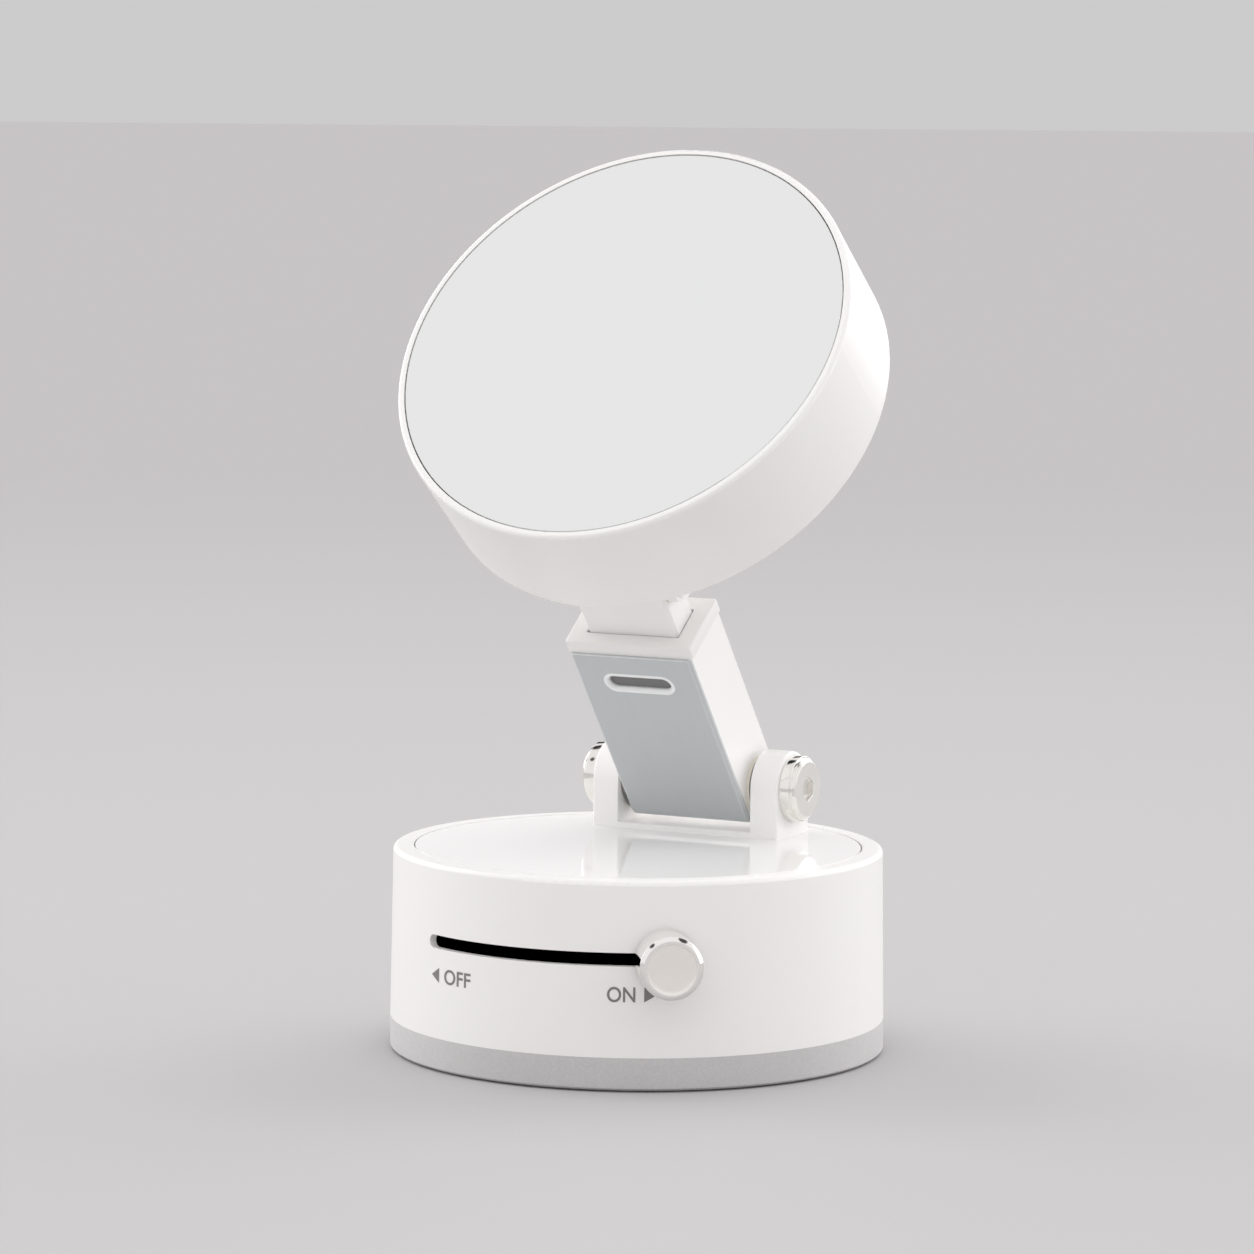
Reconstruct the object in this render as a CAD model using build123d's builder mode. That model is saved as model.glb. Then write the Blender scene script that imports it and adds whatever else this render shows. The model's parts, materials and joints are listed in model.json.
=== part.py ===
"""Extendable shaving mirror on a vacuum-lock suction base.

Millimetres, +Z up.  The origin is the middle of the suction pad's contact circle, on the
surface that the mirror stands on.  The mirror faces -Y and every hinge axis runs along X.
Angles round the base are counted from -Y towards +X.
"""

import os
from math import cos, radians, sin

from build123d import *

os.makedirs("parts", exist_ok=True)

# ---- clearances -------------------------------------------------------------------------
running_gap = 0.05      # radial, shaft in a bearing
sliding_gap = 0.10      # each side, telescoping arm in its channel
seam_gap = 0.15         # visible line round the turntable
hang_gap = 0.30         # moving pieces that never touch

# ---- base -------------------------------------------------------------------------------
base_radius = 36.0
base_height = 29.7
base_draft = 0.38       # loss of radius between the housing's foot and its top
top_edge_fillet = 0.7
wall = 2.7
ring_lift = 0.3         # ring clears the surface, so only the pad touches it
ring_top = 4.9
ring_wall = 1.3
ring_web_bottom = 1.7
ring_web_bore = 24.0
ring_chamfer = 0.3

pad_gap = 0.3
pad_thickness = 1.6
cavity_radius = 20.0
cavity_depth = 1.8
pad_boss_radius = 7.0
pad_boss_top = 6.8
pad_socket_floor = 3.4

chassis_thickness = 2.0
hat_inner_radius = 8.0
hat_wall = 1.6
hat_top = 9.6
hat_thickness = 2.0

deck_thickness = 2.0
recess_depth = 4.4      # from the rim down to the deck
rim_width = 2.97        # flat rim outside the turntable

screw_angles = (-92.0, -155.0, 125.0, 62.0)
boss_radius = 3.6
boss_bite = 0.1         # boss into the housing's wall
screw_radius = 1.1
screw_head_radius = 2.1
screw_head_height = 1.4
screw_depth = 8.0       # tapped depth in a housing boss
screw_tip_gap = 1.0
head_edge = 0.4         # rounding of a screw head

# ---- lock slider ------------------------------------------------------------------------
knob_on_angle = 34.2
knob_off_angle = -26.0
slot_play = 0.2         # post to slot, above and below
slot_z = 18.72
slot_land = 1.3         # wall left at the slot
land_height = 5.0
land_margin = 7.0       # degrees of thin wall beyond the post's travel
post_radius = 0.75
knob_radius = 4.45
knob_stand = 7.6        # knob's face beyond the base's foot
knob_gap = 0.45
knob_chamfer = 0.5
knob_dish_radius = 3.55
knob_dish_depth = 0.22
knob_dish_taper = 30    # degrees
knob_grip = 2.4         # depth of the post in the knob

cam_inner_radius = 19.0
cam_outer_radius = 25.5
cam_thickness = 2.2
cam_guide_wall = 1.3
cam_arm_width = 6.0
cam_arm_over_post = 2.3
cam_arm_step = 0.15     # arm's face behind the post's shoulder
ramp_count = 3
ramp_inner_radius = 20.0
ramp_outer_radius = 24.0
ramp_top = 2.9          # above the cam ring, with the pad drawn up
ramp_steps = 12
ramp_run_out = 4.0      # degrees of ramp beyond each end of the travel
pad_lift = 2.0
foot_width = 1.6
foot_gap = 0.15
foot_height = 0.55
first_ramp_angle = 95.0

follower_thickness = 1.8
follower_hub_radius = 13.2
follower_arm_width = 5.0
guide_pin_circle = 15.2
guide_pin_radius = 1.5
guide_ear_radius = 3.0
guide_pin_over = 2.2
stem_radius = 4.0
stem_flange = 1.0       # anchored in the pad
stem_shank_radius = 2.5
stem_screw_radius = 1.25
stem_screw_length = 5.0
stem_head_radius = 3.6
stem_head_height = 1.6
spring_radius = 10.4
spring_wire = 0.5
spring_turns = 4

# ---- turntable --------------------------------------------------------------------------
cover_thickness = 1.2
carrier_thickness = 2.0
hub_radius = 6.0
hub_overhang = 0.9      # hub length below the deck
slip_ring_inset = 0.9   # from the turntable's edge
slip_ring_width = 3.0
slip_ring_seat = 0.15   # depth in the deck
cover_edge_fillet = 0.15
hub_washer_radius = 8.2
hub_washer_thickness = 1.0
hub_screw_radius = 1.5
hub_screw_length = 4.6
hub_screw_head = 3.0
hub_screw_head_height = 1.5

# ---- yoke and hinge ---------------------------------------------------------------------
pivot_y = 19.7          # hinge axis behind the base's axis
pivot_rise = 7.1        # hinge axis above the turntable
ear_thickness = 4.3
ear_radius = 5.45
ear_edge = 0.45
bridge_height = 0.8
yoke_screw_offset = 3.1
yoke_screw_radius = 1.0
yoke_screw_depth = 3.2
yoke_screw_tip_gap = 0.4
yoke_screw_head = 1.9
shaft_radius = 2.0
cap_radius = 4.85
cap_band = 1.65
cap_height = 2.5
cap_step = 0.3
cap_chamfer = 0.45
cap_hex = 3.2           # across flats
cap_hex_depth = 0.75
cap_thread = 1.5

# ---- outer arm --------------------------------------------------------------------------
arm_lean = 37.5         # degrees forward of upright
side_wall = 2.35        # beside the channel
front_wall = 1.95
back_wall = 2.35
sleeve_foot = 3.2       # below the hinge axis
sleeve_length = 30.3    # above the hinge axis
foot_fillet = 1.9
side_edge = 0.25
plate_thickness = 0.7
plate_bevel = 0.4
channel_floor_wall = 0.7 # channel's floor above the shaft
window_drop = 5.26      # pill window below the collar
window_length = 11.1
window_height = 3.2
window_lip = 0.55
window_taper = 45       # degrees
brake_length = 13.2
brake_height = 5.0
groove_depth = 0.95
groove_width = 1.9
groove_floor = 3.6
leaf_width = 6.0
leaf_length = 14.0
leaf_foot = 8.0         # start of the leaf spring's pocket along the arm
leaf_pocket = 0.85
leaf_thickness = 0.3
collar_height = 2.1
collar_overhang = 0.35  # beyond the sleeve's sides
collar_front_step = 0.35
collar_back_step = 0.25
collar_edge = 0.3
bush_flange = 0.55
bush_flange_width = 2.6 # beyond the shaft
bush_wall = 0.9
bush_length = 5.5
washer_thickness = 0.5

# ---- inner arm --------------------------------------------------------------------------
inner_half_width = 7.4
inner_half_depth = 2.95
inner_edge = 0.45
inner_foot = 6.6        # lower end along the arm
reach = 40.4            # from the hinge axis to the tilt axis
stop_pin_radius = 0.8
stop_pin_height = 2.0   # above the inner arm's lower end
stop_pin_overhang = 0.8
stop_travel = 15.0      # extension left when it stands as modelled

# ---- mirror head ------------------------------------------------------------------------
head_elevation = 38.9   # degrees the mirror looks up
head_radius = 34.8
head_thickness = 17.7
rim_below_tilt = 8.9    # head's lower edge below the tilt axis
tilt_clearance = 0.95   # inner arm's tip to the clevis plate
mirror_rim = 1.25       # head's rim outside the glass
mirror_gap = 0.16
mirror_recess = 0.08
mirror_thickness = 2.0
head_wall = 1.7
head_floor = 2.2
front_fillet = 0.6
back_fillet = 0.8
foam_thickness = 0.9
foam_inset = 2.5        # from the glass edge
glass_chamfer = 0.06
tray_thickness = 2.0
tray_gap = 0.3
tray_rib = 3.0
tray_rib_width = 1.4
tray_rib_ring = 17.0
post_inset = 4.2        # post to the shell's bore
post_angles = (38.0, 142.0, 218.0, 322.0)
head_post_radius = 2.8
tray_screw_radius = 1.0
tray_screw_head = 1.9
tray_screw_depth = 6.0
tray_screw_tip_gap = 0.5

clevis_gap = 0.4        # inner arm to clevis ear, filled by a washer
clevis_ear = 1.6
clevis_ear_radius = 2.8
clevis_plate = 1.6
clevis_below = 5.6
clevis_above = 7.6
clevis_corner = 2.0
clevis_boss_width = 15.0
clevis_boss_height = 8.0
clevis_boss_gap = 0.1
stiffener_width = 19.0
stiffener_height = 10.5
stiffener_thickness = 1.2
clevis_screw_spacing = 9.0
clevis_screw_radius = 1.0
clevis_screw_head = 1.9
clevis_screw_head_height = 1.2
clevis_screw_depth = 3.2
tilt_pin_radius = 1.5
tilt_cap_radius = 2.1
tilt_cap_height = 0.35
tilt_cap_edge = 0.2
tilt_washer_radius = 2.8
tilt_washer_thickness = 0.3

# ---- heights that follow ----------------------------------------------------------------
chassis_bottom = ring_top
chassis_top = chassis_bottom + chassis_thickness
inner_radius = base_radius - wall
screw_circle = inner_radius - boss_radius + boss_bite
rim_bore = base_radius - base_draft - rim_width
turntable_radius = rim_bore - seam_gap
slip_ring_outer = turntable_radius - slip_ring_inset
slip_ring_inner = slip_ring_outer - slip_ring_width
deck_top = base_height - recess_depth
deck_bottom = deck_top - deck_thickness
cover_bottom = base_height - cover_thickness
carrier_bottom = cover_bottom - carrier_thickness
cam_bottom = chassis_top + 2 * sliding_gap
cam_top = cam_bottom + cam_thickness
ramp_peak = cam_top + ramp_top
foot_bottom = ramp_peak + foot_gap
follower_bottom = foot_bottom + foot_height
follower_top = follower_bottom + follower_thickness
lock_travel = knob_on_angle - knob_off_angle
slot_height = 2 * (post_radius + slot_play)
knob_face_radius = base_radius + knob_stand
stem_foot_radius = stem_radius + stem_flange
cam_arm_inner = ramp_outer_radius + hang_gap
pivot_z = base_height + pivot_rise
channel_half_width = inner_half_width + sliding_gap
channel_half_depth = inner_half_depth + sliding_gap
channel_floor = shaft_radius + channel_floor_wall
sleeve_half_width = channel_half_width + side_wall
sleeve_front = channel_half_depth + front_wall + plate_thickness
sleeve_back = channel_half_depth + back_wall
collar_half_width = sleeve_half_width + collar_overhang
collar_front = sleeve_front - collar_front_step
collar_back = sleeve_back + collar_back_step
bush_radius = shaft_radius + bush_wall
bush_flange_radius = shaft_radius + bush_flange_width
ear_inner = sleeve_half_width + bush_flange + washer_thickness + 3 * running_gap
ear_outer = ear_inner + ear_thickness
inner_pin_height = inner_foot + stop_pin_height
window_centre = sleeve_length - window_drop
clevis_inner = inner_half_width + clevis_gap
clevis_outer = clevis_inner + clevis_ear
tilt_standoff = inner_half_depth + tilt_clearance + clevis_plate
tilt_drop = head_radius - rim_below_tilt
mirror_radius = head_radius - mirror_rim
foam_radius = mirror_radius - foam_inset
shell_bore = head_radius - head_wall
post_circle = shell_bore - head_post_radius - post_inset
seat_depth = mirror_recess + mirror_thickness
tray_top = head_thickness - seat_depth - foam_thickness
tray_bottom = tray_top - tray_thickness

# ---- frames -----------------------------------------------------------------------------
x_axis = Vector(1, 0, 0)
up = Vector(0, 0, 1)
pivot = Vector(0, pivot_y, pivot_z)
arm_axis = Vector(0, -sin(radians(arm_lean)), cos(radians(arm_lean)))
arm_back = Vector(0, cos(radians(arm_lean)), sin(radians(arm_lean)))
tilt_point = pivot + arm_axis * reach
head_normal = Vector(0, -cos(radians(head_elevation)), sin(radians(head_elevation)))
head_up = Vector(0, sin(radians(head_elevation)), cos(radians(head_elevation)))
head_centre = tilt_point + head_normal * tilt_standoff + head_up * tilt_drop

arm_plane = Plane(origin=pivot, x_dir=x_axis, z_dir=arm_axis)     # local y is the arm's back
arm_side = Plane(origin=pivot, x_dir=arm_back, z_dir=x_axis)      # local y runs up the arm
yoke_side = Plane(origin=pivot, x_dir=Vector(0, 1, 0), z_dir=x_axis)
head_plane = Plane(origin=head_centre, x_dir=x_axis, z_dir=head_normal)  # local y is up
tilt_side = Plane(origin=tilt_point, x_dir=head_up, z_dir=x_axis)        # local y is forward


def radial(angle):
    """Unit vector from the base's axis at an angle counted from -Y towards +X."""
    return Vector(sin(radians(angle)), -cos(radians(angle)), 0)


def radial_section(angle, height=0.0):
    """Upright plane through the base's axis: local x points outwards, local y up."""
    return Plane(origin=up * height, x_dir=radial(angle), z_dir=radial(angle).cross(up))


def outward_face(angle, radius, height):
    """Plane that faces outwards at a radius; its local y is up."""
    across = Vector(cos(radians(angle)), sin(radians(angle)), 0)
    return Plane(origin=radial(angle) * radius + up * height, x_dir=across, z_dir=radial(angle))


def ring_points(angles, radius):
    """Points on a circle round the base's axis."""
    return [(radial(angle).X * radius, radial(angle).Y * radius) for angle in angles]


def save(builder, name):
    """Label a finished piece and write it."""
    builder.part.label = name
    export_step(builder.part, f"parts/{name}.step")


# ---- base: pad, ring, chassis, housing --------------------------------------------------
pad_radius = base_radius - ring_wall - pad_gap

with BuildPart() as suction_pad:
    with BuildSketch(Plane.XZ):
        with BuildLine():
            # shallow dome, three quarters of its depth at half its radius
            ThreePointArc((0, cavity_depth), (cavity_radius / 2, cavity_depth * 3 / 4), (cavity_radius, 0))
            Polyline(
                (cavity_radius, 0),
                (pad_radius, 0),
                (pad_radius, pad_thickness / 2),
                (pad_radius - pad_thickness / 2, pad_thickness),
                (cavity_radius + pad_thickness, pad_thickness),
            )
            Line(
                (cavity_radius + pad_thickness, pad_thickness),
                (pad_boss_radius, pad_thickness + cavity_depth),
            )
            Polyline(
                (pad_boss_radius, pad_thickness + cavity_depth),
                (pad_boss_radius, pad_boss_top),
                (stem_foot_radius, pad_boss_top),
                (stem_foot_radius, pad_socket_floor),
                (0, pad_socket_floor),
                (0, cavity_depth),
            )
        make_face()
    revolve(axis=Axis.Z)
save(suction_pad, "suction_pad")

with BuildPart() as bottom_ring:
    with BuildSketch(Plane.XZ):
        with BuildLine():
            Polyline(
                (base_radius - ring_wall, ring_lift),
                (base_radius, ring_lift),
                (base_radius, ring_top),
                (ring_web_bore, ring_top),
                (ring_web_bore, ring_web_bottom),
                (base_radius - ring_wall, ring_web_bottom),
                close=True,
            )
        make_face()
    revolve(axis=Axis.Z)
    foot_edge = bottom_ring.edges().group_by(Axis.Z)[0].sort_by(SortBy.RADIUS)[-1]
    chamfer(foot_edge, length=ring_chamfer)
    with BuildSketch(Plane.XY.offset(ring_web_bottom)):
        with Locations(*ring_points(screw_angles, screw_circle)):
            Circle(screw_head_radius + sliding_gap)
    extrude(amount=screw_head_height + sliding_gap, mode=Mode.SUBTRACT)
    with BuildSketch(Plane.XY.offset(ring_web_bottom)):
        with Locations(*ring_points(screw_angles, screw_circle)):
            Circle(screw_radius + sliding_gap)
    extrude(amount=ring_top - ring_web_bottom, mode=Mode.SUBTRACT)
save(bottom_ring, "bottom_ring")

guide_outer = cam_inner_radius - sliding_gap
guide_angles = [first_ramp_angle + 180 / ramp_count + 360 / ramp_count * i for i in range(ramp_count)]
ramp_angles = [first_ramp_angle + 360 / ramp_count * i for i in range(ramp_count)]

with BuildPart() as chassis:
    with BuildSketch(Plane.XY.offset(chassis_bottom)):
        Circle(inner_radius - sliding_gap)
        Circle(hat_inner_radius, mode=Mode.SUBTRACT)
        with Locations(*ring_points(screw_angles, screw_circle)):
            Circle(screw_radius + sliding_gap, mode=Mode.SUBTRACT)
    extrude(amount=chassis_thickness)
    with BuildSketch(Plane.XY.offset(chassis_top)):
        Circle(hat_inner_radius + hat_wall)
        Circle(hat_inner_radius, mode=Mode.SUBTRACT)
    extrude(amount=hat_top - hat_thickness - chassis_top)
    with BuildSketch(Plane.XY.offset(hat_top - hat_thickness)):
        Circle(hat_inner_radius + hat_wall)
        Circle(stem_radius + running_gap, mode=Mode.SUBTRACT)
    extrude(amount=hat_thickness)
    with BuildSketch(Plane.XY.offset(chassis_top)):
        Circle(guide_outer)
        Circle(guide_outer - cam_guide_wall, mode=Mode.SUBTRACT)
    extrude(amount=cam_thickness)
    with BuildSketch(Plane.XY.offset(chassis_top)):
        with Locations(*ring_points(guide_angles, guide_pin_circle)):
            Circle(guide_pin_radius)
    extrude(amount=follower_top + guide_pin_over - chassis_top)
save(chassis, "chassis")

with BuildPart() as base_housing:
    with BuildSketch(Plane.XZ):
        with BuildLine():
            Polyline(
                (base_radius, ring_top),
                (base_radius - base_draft, base_height),
                (rim_bore, base_height),
                (rim_bore, deck_top),
                (hub_radius + running_gap, deck_top),
                (hub_radius + running_gap, deck_bottom),
                (inner_radius, deck_bottom),
                (inner_radius, ring_top),
                close=True,
            )
        make_face()
    revolve(axis=Axis.Z)
    top_edge = base_housing.edges().group_by(Axis.Z)[-1].sort_by(SortBy.RADIUS)[-1]
    fillet(top_edge, radius=top_edge_fillet)
    with BuildSketch(Plane.XY.offset(chassis_top)):
        with Locations(*ring_points(screw_angles, screw_circle)):
            Circle(boss_radius)
    extrude(amount=deck_bottom - chassis_top)
    with BuildSketch(Plane.XY.offset(chassis_top)):
        with Locations(*ring_points(screw_angles, screw_circle)):
            Circle(screw_radius)
    extrude(amount=screw_depth, mode=Mode.SUBTRACT)
    # thin land behind the slot
    with BuildSketch(radial_section(knob_off_angle - land_margin, slot_z)):
        with Locations(((inner_radius + base_radius - slot_land) / 2 - wall / 2, 0)):
            Rectangle(wall + base_radius - slot_land - inner_radius, land_height)
    revolve(axis=Axis.Z, revolution_arc=lock_travel + 2 * land_margin, mode=Mode.SUBTRACT)
    # slot with round ends
    with BuildSketch(radial_section(knob_off_angle, slot_z)):
        with Locations((base_radius, 0)):
            Rectangle(2 * wall, slot_height)
    revolve(axis=Axis.Z, revolution_arc=lock_travel, mode=Mode.SUBTRACT)
    for end_angle in (knob_off_angle, knob_on_angle):
        with BuildSketch(outward_face(end_angle, base_radius - wall, slot_z)):
            Circle(slot_height / 2)
        extrude(amount=2 * wall, mode=Mode.SUBTRACT)
    # seat of the slip ring
    with BuildSketch(Plane.XY.offset(deck_top)):
        Circle(slip_ring_outer)
        Circle(slip_ring_inner, mode=Mode.SUBTRACT)
    extrude(amount=-slip_ring_seat, mode=Mode.SUBTRACT)
save(base_housing, "base_housing")

with BuildPart() as housing_screws:
    with BuildSketch(Plane.XY.offset(ring_web_bottom + sliding_gap)):
        with Locations(*ring_points(screw_angles, screw_circle)):
            Circle(screw_head_radius)
    extrude(amount=screw_head_height)
    with BuildSketch(Plane.XY.offset(ring_web_bottom + screw_head_height)):
        with Locations(*ring_points(screw_angles, screw_circle)):
            Circle(screw_radius)
    extrude(amount=chassis_top + screw_depth - screw_tip_gap - ring_web_bottom - screw_head_height)
save(housing_screws, "housing_screws")

with BuildPart() as slip_ring:
    with BuildSketch(Plane.XY.offset(deck_top - slip_ring_seat)):
        Circle(slip_ring_outer)
        Circle(slip_ring_inner, mode=Mode.SUBTRACT)
    extrude(amount=carrier_bottom - deck_top + slip_ring_seat - running_gap)
save(slip_ring, "slip_ring")

# ---- lock: cam ring, post, knob, follower, stem, spring ---------------------------------
cam_arm_outer = inner_radius - hang_gap
cam_arm_top = slot_z + cam_arm_over_post
ramp_sweep = lock_travel + 2 * ramp_run_out

with BuildPart() as cam_ring:
    with BuildSketch(Plane.XY.offset(cam_bottom)):
        Circle(cam_outer_radius)
        Circle(cam_inner_radius, mode=Mode.SUBTRACT)
    extrude(amount=cam_thickness)
    # the arm that carries the post, up to the slot
    with BuildSketch(outward_face(knob_on_angle, cam_arm_inner, 0)):
        with Locations((0, (cam_bottom + cam_arm_top) / 2)):
            Rectangle(cam_arm_width, cam_arm_top - cam_bottom)
    extrude(amount=cam_arm_outer - cam_arm_inner - cam_arm_step)
    with BuildSketch(outward_face(knob_on_angle, cam_arm_inner, slot_z)):
        Circle(post_radius)
    extrude(amount=cam_arm_outer - cam_arm_inner, mode=Mode.SUBTRACT)
    # ramps fall away evenly, by the pad's lift over the knob's travel
    for start in ramp_angles:
        for step in range(ramp_steps + 1):
            turn = -ramp_run_out + ramp_sweep * step / ramp_steps
            top = ramp_peak - pad_lift * turn / lock_travel
            with BuildSketch(radial_section(start + turn)):
                with Locations(((ramp_inner_radius + ramp_outer_radius) / 2, (cam_bottom + top) / 2)):
                    Rectangle(ramp_outer_radius - ramp_inner_radius, top - cam_bottom)
        loft(ruled=True)
save(cam_ring, "cam_ring")

knob_back_radius = base_radius - base_draft / 2 + knob_gap

with BuildPart() as knob_post:
    with BuildSketch(outward_face(knob_on_angle, cam_arm_inner, slot_z)):
        Circle(post_radius)
    extrude(amount=knob_back_radius + knob_grip - cam_arm_inner)
save(knob_post, "knob_post")

with BuildPart() as slider_knob:
    with BuildSketch(outward_face(knob_on_angle, knob_back_radius, slot_z)):
        Circle(knob_radius)
    extrude(amount=knob_face_radius - knob_back_radius)
    face_edge = slider_knob.edges().sort_by_distance(radial(knob_on_angle) * knob_face_radius * 2)[0]
    chamfer(face_edge, length=knob_chamfer)
    with BuildSketch(outward_face(knob_on_angle, knob_face_radius, slot_z)):
        Circle(knob_dish_radius)
    extrude(amount=-knob_dish_depth, taper=knob_dish_taper, mode=Mode.SUBTRACT)
    with BuildSketch(outward_face(knob_on_angle, knob_back_radius, slot_z)):
        Circle(post_radius)
    extrude(amount=knob_grip, mode=Mode.SUBTRACT)
save(slider_knob, "slider_knob")

with BuildPart() as follower:
    with BuildSketch(Plane.XY.offset(follower_bottom)):
        Circle(follower_hub_radius)
        for angle in ramp_angles:
            with Locations(Location((0, 0, 0), (0, 0, angle - 90))):
                with Locations((ramp_outer_radius / 2, 0)):
                    Rectangle(ramp_outer_radius, follower_arm_width)
        with Locations(*ring_points(guide_angles, guide_pin_circle)):
            Circle(guide_ear_radius)
            Circle(guide_pin_radius + running_gap, mode=Mode.SUBTRACT)
        Circle(stem_shank_radius, mode=Mode.SUBTRACT)
    extrude(amount=follower_thickness)
    with BuildSketch(Plane.XY.offset(foot_bottom)):
        for angle in ramp_angles:
            with Locations(Location((0, 0, 0), (0, 0, angle - 90))):
                with Locations(((ramp_inner_radius + ramp_outer_radius) / 2, 0)):
                    Rectangle(ramp_outer_radius - ramp_inner_radius - hang_gap, foot_width)
    extrude(amount=foot_height)
save(follower, "follower")

with BuildPart() as lift_stem:
    with BuildSketch(Plane.XZ):
        with BuildLine():
            Polyline(
                (0, pad_socket_floor),
                (stem_foot_radius, pad_socket_floor),
                (stem_foot_radius, pad_boss_top),
                (stem_radius, pad_boss_top),
                (stem_radius, follower_bottom),
                (stem_shank_radius, follower_bottom),
                (stem_shank_radius, follower_top),
                (stem_screw_radius, follower_top),
                (stem_screw_radius, follower_top - stem_screw_length),
                (0, follower_top - stem_screw_length),
                close=True,
            )
        make_face()
    revolve(axis=Axis.Z)
save(lift_stem, "lift_stem")

with BuildPart() as stem_screw:
    with BuildSketch(Plane.XY.offset(follower_top)):
        Circle(stem_head_radius)
    extrude(amount=stem_head_height)
    fillet(stem_screw.edges().group_by(Axis.Z)[-1], radius=head_edge)
    with BuildSketch(Plane.XY.offset(follower_top - stem_screw_length)):
        Circle(stem_screw_radius)
    extrude(amount=stem_screw_length)
save(stem_screw, "stem_screw")

spring_foot = follower_top + spring_wire
spring_height = deck_bottom - follower_top - 2 * spring_wire

with BuildPart() as return_spring:
    with BuildLine() as coil:
        Helix(
            pitch=spring_height / spring_turns,
            height=spring_height,
            radius=spring_radius,
            center=(0, 0, spring_foot),
        )
    with BuildSketch(coil.line ^ 0):
        Circle(spring_wire - running_gap / 2)
    sweep(path=coil.line, is_frenet=True)
save(return_spring, "return_spring")

# ---- turntable --------------------------------------------------------------------------
hub_bottom = deck_bottom - hub_overhang
ear_middle = ear_inner + ear_thickness / 2
yoke_screw_points = [
    (side * ear_middle, pivot_y + offset)
    for side in (-1, 1)
    for offset in (-yoke_screw_offset, yoke_screw_offset)
]

with BuildPart() as turntable_carrier:
    with BuildSketch(Plane.XY.offset(carrier_bottom)):
        Circle(turntable_radius)
    extrude(amount=carrier_thickness)
    with BuildSketch(Plane.XY.offset(hub_bottom)):
        Circle(hub_radius)
    extrude(amount=carrier_bottom - hub_bottom)
    with BuildSketch(Plane.XY.offset(hub_bottom)):
        Circle(hub_screw_radius)
    extrude(amount=hub_screw_length, mode=Mode.SUBTRACT)
    with Locations(*[(x, y, carrier_bottom) for x, y in yoke_screw_points]):
        with Locations(Location((0, 0, 0), (180, 0, 0))):
            CounterSinkHole(
                radius=yoke_screw_radius,
                counter_sink_radius=yoke_screw_head,
                depth=carrier_thickness,
            )
save(turntable_carrier, "turntable_carrier")

with BuildPart() as turntable_cover:
    with BuildSketch(Plane.XY.offset(cover_bottom)):
        Circle(turntable_radius)
        with Locations(*yoke_screw_points):
            Circle(yoke_screw_radius, mode=Mode.SUBTRACT)
    extrude(amount=cover_thickness)
    cover_edge = turntable_cover.edges().group_by(Axis.Z)[-1].sort_by(SortBy.RADIUS)[-1]
    fillet(cover_edge, radius=cover_edge_fillet)
save(turntable_cover, "turntable_cover")

with BuildPart() as wave_washer:
    with BuildSketch(Plane.XY.offset(hub_bottom)):
        Circle(hub_washer_radius)
        Circle(hub_radius + running_gap, mode=Mode.SUBTRACT)
    extrude(amount=hub_overhang - 2 * running_gap)
save(wave_washer, "wave_washer")

with BuildPart() as hub_washer:
    with BuildSketch(Plane.XY.offset(hub_bottom - hub_washer_thickness)):
        Circle(hub_washer_radius)
        Circle(hub_screw_radius, mode=Mode.SUBTRACT)
    extrude(amount=hub_washer_thickness)
save(hub_washer, "hub_washer")

with BuildPart() as hub_screw:
    with BuildSketch(Plane.XY.offset(hub_bottom - hub_washer_thickness)):
        Circle(hub_screw_head)
    extrude(amount=-hub_screw_head_height)
    fillet(hub_screw.edges().group_by(Axis.Z)[0], radius=head_edge)
    with BuildSketch(Plane.XY.offset(hub_bottom - hub_washer_thickness)):
        Circle(hub_screw_radius)
    extrude(amount=hub_washer_thickness + hub_screw_length)
save(hub_screw, "hub_screw")

with BuildPart() as yoke:
    for side in (-1, 1):
        start = ear_inner if side > 0 else -ear_outer
        with BuildSketch(yoke_side.offset(start)):
            with Locations((0, -pivot_rise / 2)):
                Rectangle(2 * ear_radius, pivot_rise)
            Circle(ear_radius)
            Circle(shaft_radius + running_gap, mode=Mode.SUBTRACT)
        extrude(amount=ear_thickness)
    outer_faces = [yoke.faces().sort_by(Axis.X)[0], yoke.faces().sort_by(Axis.X)[-1]]
    round_edges = [
        edge
        for face in outer_faces
        for edge in face.outer_wire().edges()
        if edge.center().Z > base_height + ear_edge
    ]
    fillet(round_edges, radius=ear_edge)
    with BuildSketch(Plane.XY.offset(base_height)):
        with Locations((0, pivot_y)):
            Rectangle(2 * ear_inner, 2 * ear_radius)
    extrude(amount=bridge_height)
    with BuildSketch(Plane.XY.offset(base_height)):
        with Locations(*yoke_screw_points):
            Circle(yoke_screw_radius)
    extrude(amount=yoke_screw_depth, mode=Mode.SUBTRACT)
save(yoke, "yoke")

yoke_screw_end = base_height + yoke_screw_depth - yoke_screw_tip_gap

with BuildPart() as yoke_screws:
    for x, y in yoke_screw_points:
        with BuildSketch(Plane.XY.offset(carrier_bottom)):
            with Locations((x, y)):
                Circle(yoke_screw_head - running_gap)
        with BuildSketch(Plane.XY.offset(carrier_bottom + yoke_screw_head - yoke_screw_radius)):
            with Locations((x, y)):
                Circle(yoke_screw_radius - running_gap)
        loft()
    with BuildSketch(Plane.XY.offset(carrier_bottom + yoke_screw_head - yoke_screw_radius)):
        with Locations(*yoke_screw_points):
            Circle(yoke_screw_radius - running_gap)
    extrude(amount=yoke_screw_end - carrier_bottom - yoke_screw_head + yoke_screw_radius)
save(yoke_screws, "yoke_screws")

shaft_half_length = ear_outer + cap_thread

with BuildPart() as hinge_shaft:
    with BuildSketch(yoke_side.offset(-shaft_half_length)):
        Circle(shaft_radius)
    extrude(amount=2 * shaft_half_length)
save(hinge_shaft, "hinge_shaft")


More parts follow.
